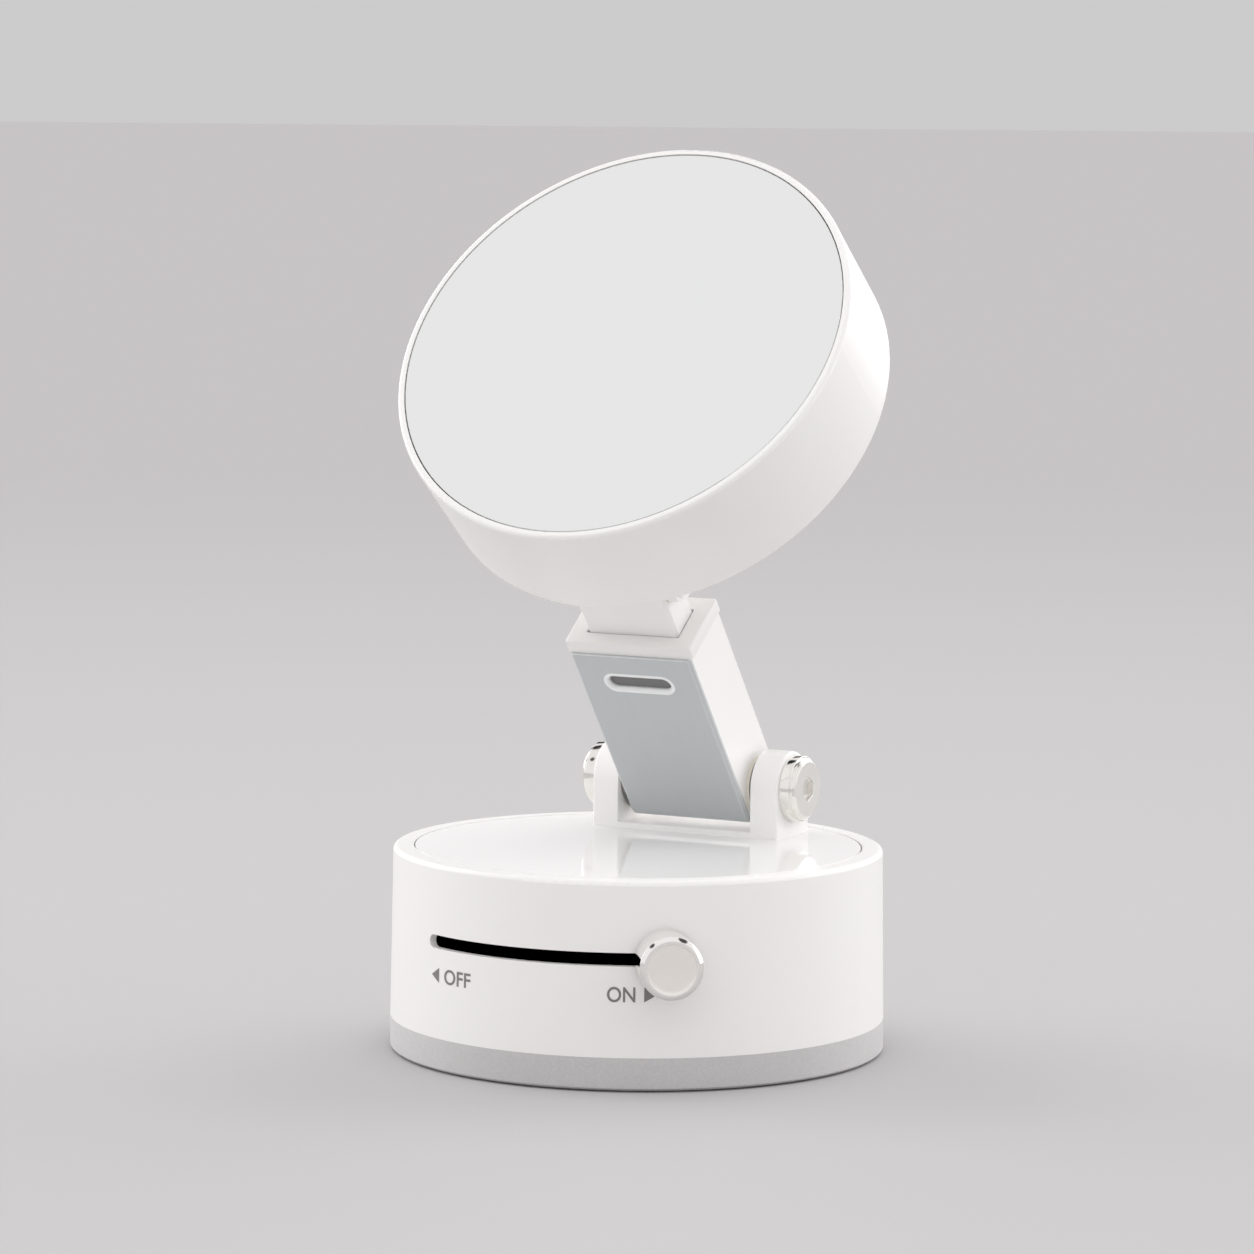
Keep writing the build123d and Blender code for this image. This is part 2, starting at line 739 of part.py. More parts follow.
def pivot_cap(side):
    """Screwed-on hinge cap, a stepped disc with a hexagon socket."""
    face = Plane(origin=pivot + x_axis * side * ear_outer, x_dir=Vector(0, side, 0), z_dir=x_axis * side)
    with BuildPart() as cap:
        with BuildSketch(face):
            Circle(cap_radius)
        extrude(amount=cap_band)
        with BuildSketch(face.offset(cap_band)):
            Circle(cap_radius - cap_step)
        extrude(amount=cap_height - cap_band)
        rim = cap.edges().sort_by(Axis.X)[-1 if side > 0 else 0]
        chamfer(rim, length=cap_chamfer)
        with BuildSketch(face.offset(cap_height)):
            RegularPolygon(radius=cap_hex / 2, side_count=6, major_radius=False)
        extrude(amount=-cap_hex_depth, mode=Mode.SUBTRACT)
        with BuildSketch(face):
            Circle(shaft_radius)
        extrude(amount=cap_thread, mode=Mode.SUBTRACT)
    return cap


save(pivot_cap(-1), "pivot_cap_left")
save(pivot_cap(1), "pivot_cap_right")

with BuildPart() as spring_washers:
    for side in (-1, 1):
        middle = side * (ear_inner - running_gap / 2 - washer_thickness / 2)
        with BuildSketch(yoke_side.offset(middle)):
            Circle(bush_flange_radius)
            Circle(shaft_radius + running_gap, mode=Mode.SUBTRACT)
        extrude(amount=washer_thickness / 2, both=True)
save(spring_washers, "spring_washers")

# ---- outer arm --------------------------------------------------------------------------
plate_back = sleeve_front - plate_thickness
plate_seam = Plane(origin=pivot - arm_back * plate_back, x_dir=x_axis, z_dir=arm_back)


def arm_block():
    """Solid block of the outer arm, with its foot corners rounded."""
    with BuildPart() as block:
        with BuildSketch(arm_side.offset(-sleeve_half_width)):
            with Locations(((sleeve_back - sleeve_front) / 2, (sleeve_length - sleeve_foot) / 2)):
                Rectangle(sleeve_front + sleeve_back, sleeve_length + sleeve_foot)
            fillet(vertices().group_by(Axis.Y)[0], radius=foot_fillet)
        extrude(amount=2 * sleeve_half_width)
    return block


def depth(shape):
    """How far behind the hinge axis a shape's centre lies, square to the arm."""
    return (shape.center() - pivot).dot(arm_back)


sleeve_block = arm_block()

with BuildPart() as arm_sleeve:
    add(sleeve_block.part)
    split(bisect_by=plate_seam, keep=Keep.TOP)
    long_edges = arm_sleeve.edges().filter_by(Axis(pivot, arm_axis))
    fillet(long_edges.sort_by(depth)[-2:], radius=side_edge)
    # channel for the inner arm, and grooves for the stop pin
    with BuildSketch(arm_plane.offset(channel_floor)):
        Rectangle(2 * channel_half_width, 2 * channel_half_depth)
    extrude(amount=sleeve_length - channel_floor, mode=Mode.SUBTRACT)
    with BuildSketch(arm_plane.offset(groove_floor)):
        Rectangle(2 * (channel_half_width + groove_depth), groove_width)
    extrude(amount=sleeve_length - groove_floor, mode=Mode.SUBTRACT)
    # pocket of the leaf spring
    with BuildSketch(arm_plane.offset(leaf_foot)):
        with Locations((0, channel_half_depth + leaf_pocket / 2)):
            Rectangle(leaf_width + 2 * sliding_gap, leaf_pocket)
    extrude(amount=leaf_length + 2 * sliding_gap, mode=Mode.SUBTRACT)
    # window of the brake pad
    with BuildSketch(arm_plane.offset(window_centre - brake_height / 2)):
        with Locations((0, -(plate_back + channel_half_depth) / 2)):
            Rectangle(brake_length, plate_back - channel_half_depth)
    extrude(amount=brake_height, mode=Mode.SUBTRACT)
    # bores of the hinge bushes
    with BuildSketch(arm_side.offset(-sleeve_half_width)):
        Circle(shaft_radius + running_gap)
    extrude(amount=2 * sleeve_half_width, mode=Mode.SUBTRACT)
    for side in (-1, 1):
        with BuildSketch(arm_side.offset(side * (sleeve_half_width - bush_length / 2))):
            Circle(bush_radius)
        extrude(amount=bush_length / 2, both=True, mode=Mode.SUBTRACT)
save(arm_sleeve, "arm_sleeve")

with BuildPart() as sleeve_plate:
    add(sleeve_block.part)
    split(bisect_by=plate_seam, keep=Keep.BOTTOM)
    skin = sleeve_plate.faces().sort_by(depth)[0]
    chamfer(skin.edges().filter_by(Axis(pivot, arm_axis)), length=plate_bevel)
    window_plane = Plane(
        origin=pivot - arm_back * sleeve_front + arm_axis * window_centre,
        x_dir=x_axis,
        z_dir=-arm_back,
    )
    with BuildSketch(window_plane):
        SlotOverall(window_length, window_height)
    extrude(amount=-window_lip, taper=window_taper, mode=Mode.SUBTRACT)
    with BuildSketch(window_plane):
        SlotOverall(window_length - 2 * window_lip, window_height - 2 * window_lip)
    extrude(amount=-plate_thickness, mode=Mode.SUBTRACT)
save(sleeve_plate, "sleeve_plate")

with BuildPart() as brake_pad:
    with BuildSketch(arm_plane.offset(window_centre - brake_height / 2)):
        with Locations((0, -(plate_back + inner_half_depth + running_gap) / 2)):
            Rectangle(brake_length, plate_back - inner_half_depth - running_gap)
    extrude(amount=brake_height)
save(brake_pad, "brake_pad")

with BuildPart() as leaf_spring:
    leaf_rise = leaf_pocket - leaf_thickness
    leaf_base = channel_half_depth + leaf_pocket
    leaf_start = leaf_foot + sliding_gap
    leaf_end = leaf_start + leaf_length
    with BuildSketch(arm_side.offset(-leaf_width / 2)):
        with BuildLine():
            ThreePointArc(
                (leaf_base, leaf_start),
                (leaf_base - leaf_rise, leaf_start + leaf_length / 2),
                (leaf_base, leaf_end),
            )
            Line((leaf_base, leaf_end), (leaf_base - leaf_thickness, leaf_end))
            ThreePointArc(
                (leaf_base - leaf_thickness, leaf_end),
                (leaf_base - leaf_rise - leaf_thickness, leaf_start + leaf_length / 2),
                (leaf_base - leaf_thickness, leaf_start),
            )
            Line((leaf_base - leaf_thickness, leaf_start), (leaf_base, leaf_start))
        make_face()
    extrude(amount=leaf_width)
save(leaf_spring, "leaf_spring")

tongue_foot = inner_pin_height + stop_travel + stop_pin_radius

with BuildPart() as sleeve_collar:
    with BuildSketch(arm_plane.offset(sleeve_length)):
        with Locations((0, (collar_back - collar_front) / 2)):
            Rectangle(2 * collar_half_width, collar_front + collar_back)
        Rectangle(2 * channel_half_width, 2 * channel_half_depth, mode=Mode.SUBTRACT)
    extrude(amount=collar_height)
    corner_edges = [
        edge
        for edge in sleeve_collar.edges().filter_by(Axis(pivot, arm_axis))
        if abs(edge.center().X) > channel_half_width + sliding_gap
    ]
    fillet(corner_edges, radius=collar_edge)
    # tongues that close the grooves, and stop the pin
    with BuildSketch(arm_plane.offset(tongue_foot)):
        with Locations(
            (channel_half_width + groove_depth / 2, 0),
            (-channel_half_width - groove_depth / 2, 0),
        ):
            Rectangle(groove_depth, groove_width)
    extrude(amount=sleeve_length - tongue_foot)
save(sleeve_collar, "sleeve_collar")

with BuildPart() as hinge_bushes:
    for side in (-1, 1):
        with BuildSketch(arm_side.offset(side * (sleeve_half_width + bush_flange / 2))):
            Circle(bush_flange_radius)
        extrude(amount=bush_flange / 2, both=True)
        with BuildSketch(arm_side.offset(side * (sleeve_half_width - bush_length / 2))):
            Circle(bush_radius)
        extrude(amount=bush_length / 2, both=True)
    with BuildSketch(arm_side.offset(-ear_inner)):
        Circle(shaft_radius + running_gap)
    extrude(amount=2 * ear_inner, mode=Mode.SUBTRACT)
save(hinge_bushes, "hinge_bushes")

# ---- inner arm --------------------------------------------------------------------------
with BuildPart() as inner_arm:
    with BuildSketch(arm_side.offset(-inner_half_width)):
        with Locations((0, (inner_foot + reach) / 2)):
            Rectangle(2 * inner_half_depth, reach - inner_foot)
        with Locations((0, reach)):
            Circle(inner_half_depth)
            Circle(tilt_pin_radius + running_gap, mode=Mode.SUBTRACT)
        with Locations((0, inner_pin_height)):
            Circle(stop_pin_radius, mode=Mode.SUBTRACT)
    extrude(amount=2 * inner_half_width)
    side_edges = inner_arm.edges().filter_by(Axis(pivot, arm_axis))
    chamfer(side_edges, length=inner_edge)
save(inner_arm, "inner_arm")

with BuildPart() as stop_pin:
    with BuildSketch(arm_side.offset(-inner_half_width - stop_pin_overhang)):
        with Locations((0, inner_pin_height)):
            Circle(stop_pin_radius)
    extrude(amount=2 * (inner_half_width + stop_pin_overhang))
save(stop_pin, "stop_pin")

# ---- head: clevis and pin ---------------------------------------------------------------
clevis_screw_points = [(side * clevis_screw_spacing / 2, -tilt_drop) for side in (-1, 1)]
clevis_middle = -tilt_drop + (clevis_above - clevis_below) / 2

with BuildPart() as head_clevis:
    with BuildSketch(head_plane.offset(-clevis_plate)):
        with Locations((0, clevis_middle)):
            RectangleRounded(2 * clevis_outer, clevis_below + clevis_above, clevis_corner)
    extrude(amount=clevis_plate)
    with BuildSketch(head_plane):
        with Locations((0, -tilt_drop)):
            Rectangle(clevis_boss_width, clevis_boss_height)
    extrude(amount=head_floor)
    for side in (-1, 1):
        start = clevis_inner if side > 0 else -clevis_outer
        with BuildSketch(tilt_side.offset(start)):
            Circle(clevis_ear_radius)
            with Locations((0, (tilt_standoff - clevis_plate) / 2)):
                Rectangle(2 * clevis_ear_radius, tilt_standoff - clevis_plate)
            Circle(tilt_pin_radius, mode=Mode.SUBTRACT)
        extrude(amount=clevis_ear)
    with BuildSketch(head_plane.offset(head_floor)):
        with Locations(*clevis_screw_points):
            Circle(clevis_screw_radius)
    extrude(amount=-clevis_screw_depth, mode=Mode.SUBTRACT)
save(head_clevis, "head_clevis")

with BuildPart() as clevis_stiffener:
    with BuildSketch(head_plane.offset(head_floor)):
        with Locations((0, -tilt_drop)):
            RectangleRounded(stiffener_width, stiffener_height, clevis_corner)
        with Locations(*clevis_screw_points):
            Circle(clevis_screw_radius, mode=Mode.SUBTRACT)
    extrude(amount=stiffener_thickness)
save(clevis_stiffener, "clevis_stiffener")

with BuildPart() as clevis_screws:
    with BuildSketch(head_plane.offset(head_floor + stiffener_thickness)):
        with Locations(*clevis_screw_points):
            Circle(clevis_screw_head)
    extrude(amount=clevis_screw_head_height)
    with BuildSketch(head_plane.offset(head_floor + stiffener_thickness)):
        with Locations(*clevis_screw_points):
            Circle(clevis_screw_radius)
    extrude(amount=-(clevis_screw_depth + stiffener_thickness))
save(clevis_screws, "clevis_screws")

with BuildPart() as tilt_pin:
    with BuildSketch(tilt_side.offset(-clevis_outer)):
        Circle(tilt_pin_radius)
    extrude(amount=2 * clevis_outer)
save(tilt_pin, "tilt_pin")

with BuildPart() as tilt_caps:
    for side in (-1, 1):
        with BuildSketch(tilt_side.offset(side * (clevis_outer + tilt_cap_height / 2))):
            Circle(tilt_cap_radius)
        extrude(amount=tilt_cap_height / 2, both=True)
    cap_rims = tilt_caps.edges().sort_by(Axis.X)
    fillet([cap_rims[0], cap_rims[-1]], radius=tilt_cap_edge)
save(tilt_caps, "tilt_caps")

with BuildPart() as tilt_washers:
    for side in (-1, 1):
        middle = side * (clevis_inner - tilt_washer_thickness / 2)
        with BuildSketch(tilt_side.offset(middle)):
            Circle(tilt_washer_radius)
            Circle(tilt_pin_radius, mode=Mode.SUBTRACT)
        extrude(amount=tilt_washer_thickness / 2, both=True)
save(tilt_washers, "tilt_washers")

# ---- head: shell, mirror, tray ----------------------------------------------------------
seat_radius = mirror_radius + mirror_gap
head_section = Plane(origin=head_centre, x_dir=x_axis, z_dir=-head_up)   # local y is forward
head_spin = Axis(head_centre, head_normal)
post_points = [(post_circle * cos(radians(a)), post_circle * sin(radians(a))) for a in post_angles]

with BuildPart() as head_shell:
    with BuildSketch(head_section):
        with BuildLine():
            Polyline(
                (0, 0),
                (head_radius, 0),
                (head_radius, head_thickness),
                (seat_radius, head_thickness),
                (seat_radius, head_thickness - seat_depth),
                (shell_bore, head_thickness - seat_depth),
                (shell_bore, head_floor),
                (0, head_floor),
                close=True,
            )
        make_face()
    revolve(axis=head_spin)
    rims = head_shell.edges().filter_by(GeomType.CIRCLE).sort_by(SortBy.RADIUS)[-2:]
    rims = rims.sort_by(head_spin)
    fillet(rims[-1], radius=front_fillet)
    fillet(rims[0], radius=back_fillet)
    with BuildSketch(head_plane):
        with Locations((0, -tilt_drop)):
            Rectangle(clevis_boss_width + 2 * clevis_boss_gap, clevis_boss_height + 2 * clevis_boss_gap)
    extrude(amount=head_floor, mode=Mode.SUBTRACT)
    with BuildSketch(head_plane.offset(head_floor)):
        with Locations(*post_points):
            Circle(head_post_radius)
    extrude(amount=tray_bottom - head_floor)
    with BuildSketch(head_plane.offset(tray_bottom)):
        with Locations(*post_points):
            Circle(tray_screw_radius)
    extrude(amount=-tray_screw_depth, mode=Mode.SUBTRACT)
save(head_shell, "head_shell")

with BuildPart() as mirror_tray:
    with BuildSketch(head_plane.offset(tray_bottom)):
        Circle(shell_bore - tray_gap)
    extrude(amount=tray_thickness)
    with BuildSketch(head_plane.offset(tray_bottom)):
        Circle(tray_rib_ring + tray_rib_width / 2)
        Circle(tray_rib_ring - tray_rib_width / 2, mode=Mode.SUBTRACT)
        Rectangle(2 * tray_rib_ring, tray_rib_width)
        Rectangle(tray_rib_width, 2 * tray_rib_ring)
    extrude(amount=-tray_rib)
    with BuildSketch(head_plane.offset(tray_top)):
        with Locations(*post_points):
            Circle(tray_screw_head)
    extrude(amount=-tray_thickness / 2, mode=Mode.SUBTRACT)
    with BuildSketch(head_plane.offset(tray_top)):
        with Locations(*post_points):
            Circle(tray_screw_radius)
    extrude(amount=-tray_thickness, mode=Mode.SUBTRACT)
save(mirror_tray, "mirror_tray")

with BuildPart() as tray_screws:
    with BuildSketch(head_plane.offset(tray_top - tray_thickness / 2)):
        with Locations(*post_points):
            Circle(tray_screw_head)
    extrude(amount=tray_thickness / 2 - running_gap)
    with BuildSketch(head_plane.offset(tray_top - tray_thickness / 2)):
        with Locations(*post_points):
            Circle(tray_screw_radius)
    extrude(amount=-(tray_thickness / 2 + tray_screw_depth - tray_screw_tip_gap))
save(tray_screws, "tray_screws")

with BuildPart() as mirror_foam:
    with BuildSketch(head_plane.offset(tray_top)):
        Circle(foam_radius)
    extrude(amount=foam_thickness)
save(mirror_foam, "mirror_foam")

with BuildPart() as mirror_glass:
    with BuildSketch(head_plane.offset(tray_top + foam_thickness)):
        Circle(mirror_radius)
    extrude(amount=mirror_thickness)
    glass_edge = mirror_glass.edges().sort_by(head_spin)[-1]
    chamfer(glass_edge, length=glass_chamfer)
save(mirror_glass, "mirror_glass")
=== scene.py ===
import json
from math import cos, pi, radians, sin

import bmesh
import bpy
from mathutils import Matrix, Vector


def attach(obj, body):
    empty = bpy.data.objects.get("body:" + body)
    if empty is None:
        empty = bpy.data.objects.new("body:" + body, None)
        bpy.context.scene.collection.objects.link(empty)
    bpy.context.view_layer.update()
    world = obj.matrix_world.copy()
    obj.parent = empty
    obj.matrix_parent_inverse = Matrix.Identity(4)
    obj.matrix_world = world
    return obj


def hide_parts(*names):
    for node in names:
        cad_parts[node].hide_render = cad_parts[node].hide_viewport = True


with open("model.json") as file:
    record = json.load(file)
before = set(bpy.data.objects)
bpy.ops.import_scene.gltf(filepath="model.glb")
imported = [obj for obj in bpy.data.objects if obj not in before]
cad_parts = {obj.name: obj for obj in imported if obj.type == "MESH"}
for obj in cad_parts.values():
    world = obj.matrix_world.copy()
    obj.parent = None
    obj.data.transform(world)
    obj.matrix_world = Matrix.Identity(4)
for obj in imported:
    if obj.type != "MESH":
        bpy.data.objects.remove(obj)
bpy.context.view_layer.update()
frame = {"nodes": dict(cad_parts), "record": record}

mm = 0.001
print("frame loaded:", len(frame["nodes"]), "CAD nodes")


# places and directions that several pieces share, in millimetres and degrees
layout = {
    "knobAngle": 34.2,        # round the base, from the front towards +X
    "slotHeight": 18.72,
    "hingeY": 19.7,
    "hingeZ": 36.8,
    "armLean": 37.5,
}


def outward(angle):
    # unit vector away from the base's axis
    return Vector((sin(radians(angle)), -cos(radians(angle)), 0))


def placed(origin, axis, across):
    # matrix whose local z is axis and local x is across, with its origin in millimetres
    z = Vector(axis).normalized()
    x = Vector(across).normalized()
    y = z.cross(x)
    matrix = Matrix((x, y, z)).transposed().to_4x4()
    matrix.translation = Vector(origin) * mm
    return matrix


def linear(hexColour):
    # sRGB hex to a linear colour with alpha
    parts = [int(hexColour[i:i + 2], 16) / 255 for i in (1, 3, 5)]
    return [c / 12.92 if c <= 0.04045 else ((c + 0.055) / 1.055) ** 2.4 for c in parts] + [1.0]


def perMetre(millimetres):
    # texture scale whose features are about this size
    return 1000 / millimetres


def addNode(tree, kind, inputs=None, **settings):
    # an input is a value, a hex colour, a socket, or a node whose first output is meant
    node = tree.nodes.new(kind)
    for key, value in settings.items():
        setattr(node, key, value)
    for key, value in (inputs or {}).items():
        if isinstance(value, bpy.types.Node):
            value = next(o for o in value.outputs if o.enabled)
        if isinstance(value, bpy.types.NodeSocket):
            tree.links.new(value, node.inputs[key])
        else:
            node.inputs[key].default_value = linear(value) if isinstance(value, str) else value
    return node


def startMaterial(name):
    material = bpy.data.materials.new(name)
    material.use_nodes = True
    material.node_tree.nodes.clear()
    return material, material.node_tree, addNode(material.node_tree, "ShaderNodeTexCoord").outputs["Object"]


def endMaterial(material, shaderInputs):
    shader = addNode(material.node_tree, "ShaderNodeBsdfPrincipled", shaderInputs)
    addNode(material.node_tree, "ShaderNodeOutputMaterial", {"Surface": shader})
    return material


# Moulded ABS, from a spark-eroded and lightly polished mould: an even white with a soft
# sheen and faint flow shading, with a grain too fine to feel.
absLook = {
    "colour": "#FBFAF9", "flowColour": "#F8F7F5", "roughness": (0.25, 0.34),
    "flowSize": 16.0, "grainSize": 0.3, "grainDepth": 0.004,
    # the collar colour and the inside colour are painted shade
    "collarShadeColour": "#F0EFED", "insideShadeColour": "#020202", "skinRadius": 34.55, "deckHeight": 23.3,
}


def mouldedAbs(name, shade="", paintedShadeInside=False):
    look = absLook
    material, tree, place = startMaterial(name)
    flow = addNode(tree, "ShaderNodeTexNoise",
                   {"Vector": place, "Scale": perMetre(look["flowSize"]), "Detail": 1.0})
    colour = addNode(tree, "ShaderNodeMix", {"Factor": flow, 6: shade or look["colour"],
                                             7: shade or look["flowColour"]}, data_type="RGBA")
    low, high = look["roughness"]
    roughness = addNode(tree, "ShaderNodeMapRange", {"Value": flow, "To Min": low, "To Max": high})
    # real grain is 0.05 mm, drawn coarser
    grain = addNode(tree, "ShaderNodeTexNoise", {"Vector": place, "Scale": perMetre(look["grainSize"]),
                                                 "Detail": 3.0})
    bump = addNode(tree, "ShaderNodeBump",
                   {"Height": grain, "Distance": look["grainDepth"] * mm, "Strength": 0.5})
    shaderInputs = {"Base Color": colour, "Roughness": roughness, "Normal": bump, "IOR": 1.54}
    if paintedShadeInside:
        # painted shade: the cavity wall is near black and dull, standing in for the shade seen through the slot
        flat = addNode(tree, "ShaderNodeVectorMath", {0: place, 1: (1, 1, 0)}, operation="MULTIPLY")
        radius = addNode(tree, "ShaderNodeVectorMath", {0: flat}, operation="LENGTH").outputs["Value"]
        edge = look["skinRadius"] * mm
        within = addNode(tree, "ShaderNodeMath", {0: radius, 1: edge}, operation="LESS_THAN")
        height = addNode(tree, "ShaderNodeSeparateXYZ", {0: place}).outputs["Z"]
        below = addNode(tree, "ShaderNodeMath",
                        {0: height, 1: look["deckHeight"] * mm}, operation="LESS_THAN")
        insideShadeMask = addNode(tree, "ShaderNodeMath", {0: within, 1: below}, operation="MULTIPLY")
        shaderInputs["Base Color"] = addNode(tree, "ShaderNodeMix",
                                             {"Factor": insideShadeMask, 6: colour, 7: look["insideShadeColour"]},
                                             data_type="RGBA")
        shaderInputs["Specular IOR Level"] = addNode(tree, "ShaderNodeMapRange",
                                                     {"Value": insideShadeMask, "To Min": 0.5, "To Max": 0.0})
    return endMaterial(material, shaderInputs)


# Cast acrylic over white ink, with an anti-glare face: a calm clear gloss and faint wipe marks.
acrylicLook = {
    "colour": "#EFEEED", "tint": "#ECECEB", "tintSize": 14.0, "roughness": (0.03, 0.08),
    "wipeSize": 1.2, "wipeDepth": 0.0004, "reflection": 0.18,
}


def castAcrylic():
    look = acrylicLook
    material, tree, place = startMaterial("castAcrylic")
    wide = addNode(tree, "ShaderNodeTexNoise",
                   {"Vector": place, "Scale": perMetre(look["tintSize"]), "Detail": 1.0})
    colour = addNode(tree, "ShaderNodeMix",
                     {"Factor": wide, 6: look["colour"], 7: look["tint"]}, data_type="RGBA")
    along = addNode(tree, "ShaderNodeVectorMath", {0: place, 1: (1.0, 0.06, 1.0)}, operation="MULTIPLY")
    wipes = addNode(tree, "ShaderNodeTexNoise", {"Vector": along, "Scale": perMetre(look["wipeSize"]),
                                                 "Detail": 3.0})
    low, high = look["roughness"]
    roughness = addNode(tree, "ShaderNodeMapRange", {"Value": wipes, "From Min": 0.35, "From Max": 0.75,
                                                     "To Min": low, "To Max": high})
    bump = addNode(tree, "ShaderNodeBump",
                   {"Height": wipes, "Distance": look["wipeDepth"] * mm, "Strength": 0.3})
    return endMaterial(material, {"Base Color": colour, "Roughness": roughness, "Normal": bump, "IOR": 1.49,
                                  "Specular IOR Level": look["reflection"]})


# Silver lacquer on moulded ABS: fine aluminium flake in a dull lacquer, slightly mottled,
# bright where it turns towards the side lights.
lacquerLook = {
    "colour": "#DEDDDD", "flake": "#D7D6D6", "roughness": (0.58, 0.64), "mottleSize": 5.0,
    "flakeSize": 0.22, "flakeDepth": 0.0006,
}


def silverLacquer():
    look = lacquerLook
    material, tree, place = startMaterial("silverLacquer")
    flake = addNode(tree, "ShaderNodeTexVoronoi", {"Vector": place, "Scale": perMetre(look["flakeSize"])})
    grey = addNode(tree, "ShaderNodeSeparateColor", {"Color": flake.outputs["Color"]}).outputs["Red"]
    colour = addNode(tree, "ShaderNodeMix",
                     {"Factor": grey, 6: look["colour"], 7: look["flake"]}, data_type="RGBA")
    mottle = addNode(tree, "ShaderNodeTexNoise", {"Vector": place, "Scale": perMetre(look["mottleSize"])})
    low, high = look["roughness"]
    roughness = addNode(tree, "ShaderNodeMapRange", {"Value": mottle, "From Min": 0.3, "From Max": 0.7,
                                                     "To Min": low, "To Max": high})
    bump = addNode(tree, "ShaderNodeBump",
                   {"Height": grey, "Distance": look["flakeDepth"] * mm, "Strength": 0.25})
    return endMaterial(material, {"Base Color": colour, "Roughness": roughness,
                                  "Normal": bump, "Metallic": 0.9})


# Clear-anodised aluminium sheet, fine bead-blasted: a cool satin grey with a tight grain,
# rolling streaks that barely show, and a painted highlight along the edges.
anodisedLook = {
    # the edge colour and the two lip colours are painted highlights
    "colour": "#C5C9CB", "streak": "#C1C5C7", "edge": "#F6F7F7", "edgeWidth": 0.4, "roughness": (0.42, 0.48),
    "lipHighlightColour": "#F6F7F7", "lipHighlightStreak": "#EFF0F1", "metal": 0.25,
    "grainSize": 0.2, "grainDepth": 0.003, "streakSize": 0.8,
}


def anodisedAluminium(name, plain, streaked):
    look = anodisedLook
    material, tree, place = startMaterial(name)
    along = addNode(tree, "ShaderNodeVectorMath", {0: place, 1: (1.0, 0.05, 0.05)}, operation="MULTIPLY")
    streak = addNode(tree, "ShaderNodeTexNoise", {"Vector": along, "Scale": perMetre(look["streakSize"])})
    sheet = addNode(tree, "ShaderNodeMix", {"Factor": streak, 6: plain, 7: streaked}, data_type="RGBA")
    # painted highlight: the colour turns near white where the Bevel normal leans away, along every edge
    rounded = addNode(tree, "ShaderNodeBevel", {"Radius": look["edgeWidth"] * mm}, samples=4)
    face = addNode(tree, "ShaderNodeNewGeometry").outputs["Normal"]
    turn = addNode(tree, "ShaderNodeVectorMath",
                   {0: rounded, 1: face}, operation="DOT_PRODUCT").outputs["Value"]
    edge = addNode(tree, "ShaderNodeMapRange", {"Value": turn, "From Min": 0.75, "From Max": 0.995,
                                                "To Min": 1.0, "To Max": 0.0})
    colour = addNode(tree, "ShaderNodeMix", {"Factor": edge, 6: sheet, 7: look["edge"]}, data_type="RGBA")
    # blasting leaves 0.04 mm pits, drawn coarser
    grain = addNode(tree, "ShaderNodeTexNoise", {"Vector": place, "Scale": perMetre(look["grainSize"])})
    low, high = look["roughness"]
    roughness = addNode(tree, "ShaderNodeMapRange", {"Value": grain, "From Min": 0.3, "From Max": 0.7,
                                                     "To Min": low, "To Max": high})
    bump = addNode(tree, "ShaderNodeBump",
                   {"Height": grain, "Distance": look["grainDepth"] * mm, "Strength": 0.4})
    return endMaterial(material, {"Base Color": colour, "Roughness": roughness,
                                  "Normal": bump, "Metallic": look["metal"]})


# Nickel plate over turned brass: warm bright metal, with lathe rings that the plating has
# softened and a few haze spots from fingers.
nickelLook = {
    "colour": "#F8F6F3", "haze": "#F2F0EB", "roughness": (0.1, 0.16), "hazeSize": 1.6,
    "ringPitch": 0.16, "ringDepth": 0.0005, "faceFrom": 17.55, "faceMetal": 0.7,
}


def nickelPlate(centre):
    look = nickelLook
    material, tree, place = startMaterial("nickelPlate")
    moved = addNode(tree, "ShaderNodeVectorMath", {0: place, 1: centre}, operation="SUBTRACT")
    flat = addNode(tree, "ShaderNodeVectorMath", {0: moved, 1: (0, 1, 1)}, operation="MULTIPLY")
    radius = addNode(tree, "ShaderNodeVectorMath", {0: flat}, operation="LENGTH").outputs["Value"]
    phase = addNode(tree, "ShaderNodeMath", {0: radius, 1: 2 * pi * perMetre(look["ringPitch"])},
                    operation="MULTIPLY")
    rings = addNode(tree, "ShaderNodeMath", {0: phase}, operation="SINE")
    bump = addNode(tree, "ShaderNodeBump",
                   {"Height": rings, "Distance": look["ringDepth"] * mm, "Strength": 0.3})
    # the plated face is hazier than the band, so it mixes in some white
    side = addNode(tree, "ShaderNodeSeparateXYZ", {0: place}).outputs["X"]
    far = addNode(tree, "ShaderNodeMath", {0: side}, operation="ABSOLUTE")
    face = addNode(tree, "ShaderNodeMath", {0: far, 1: look["faceFrom"] * mm}, operation="GREATER_THAN")
    metal = addNode(tree, "ShaderNodeMapRange", {"Value": face, "To Min": 1.0, "To Max": look["faceMetal"]})
    haze = addNode(tree, "ShaderNodeTexNoise",
                   {"Vector": place, "Scale": perMetre(look["hazeSize"]), "Detail": 3.0})
    colour = addNode(tree, "ShaderNodeMix",
                     {"Factor": haze, 6: look["colour"], 7: look["haze"]}, data_type="RGBA")
    low, high = look["roughness"]
    roughness = addNode(tree, "ShaderNodeMapRange", {"Value": haze, "From Min": 0.4, "From Max": 0.75,
                                                     "To Min": low, "To Max": high})
    return endMaterial(material, {"Base Color": colour, "Roughness": roughness,
                                  "Normal": bump, "Metallic": metal})


# Pearl nickel, a satin electroplate: pale warm metal with soft wide highlights in the
# dish, and a brighter polished rim and side.
pearlLook = {
    "colour": "#F8F4EF", "cloud": "#F5F0EA", "rimColour": "#FBF9F6", "cloudSize": 2.2,
    "dishRoughness": 0.28, "rimRoughness": 0.07, "dishMetal": 0.5, "dishEdge": 3.5, "dishBand": 0.06,
    "grainSize": 0.3, "grainDepth": 0.0002,
}


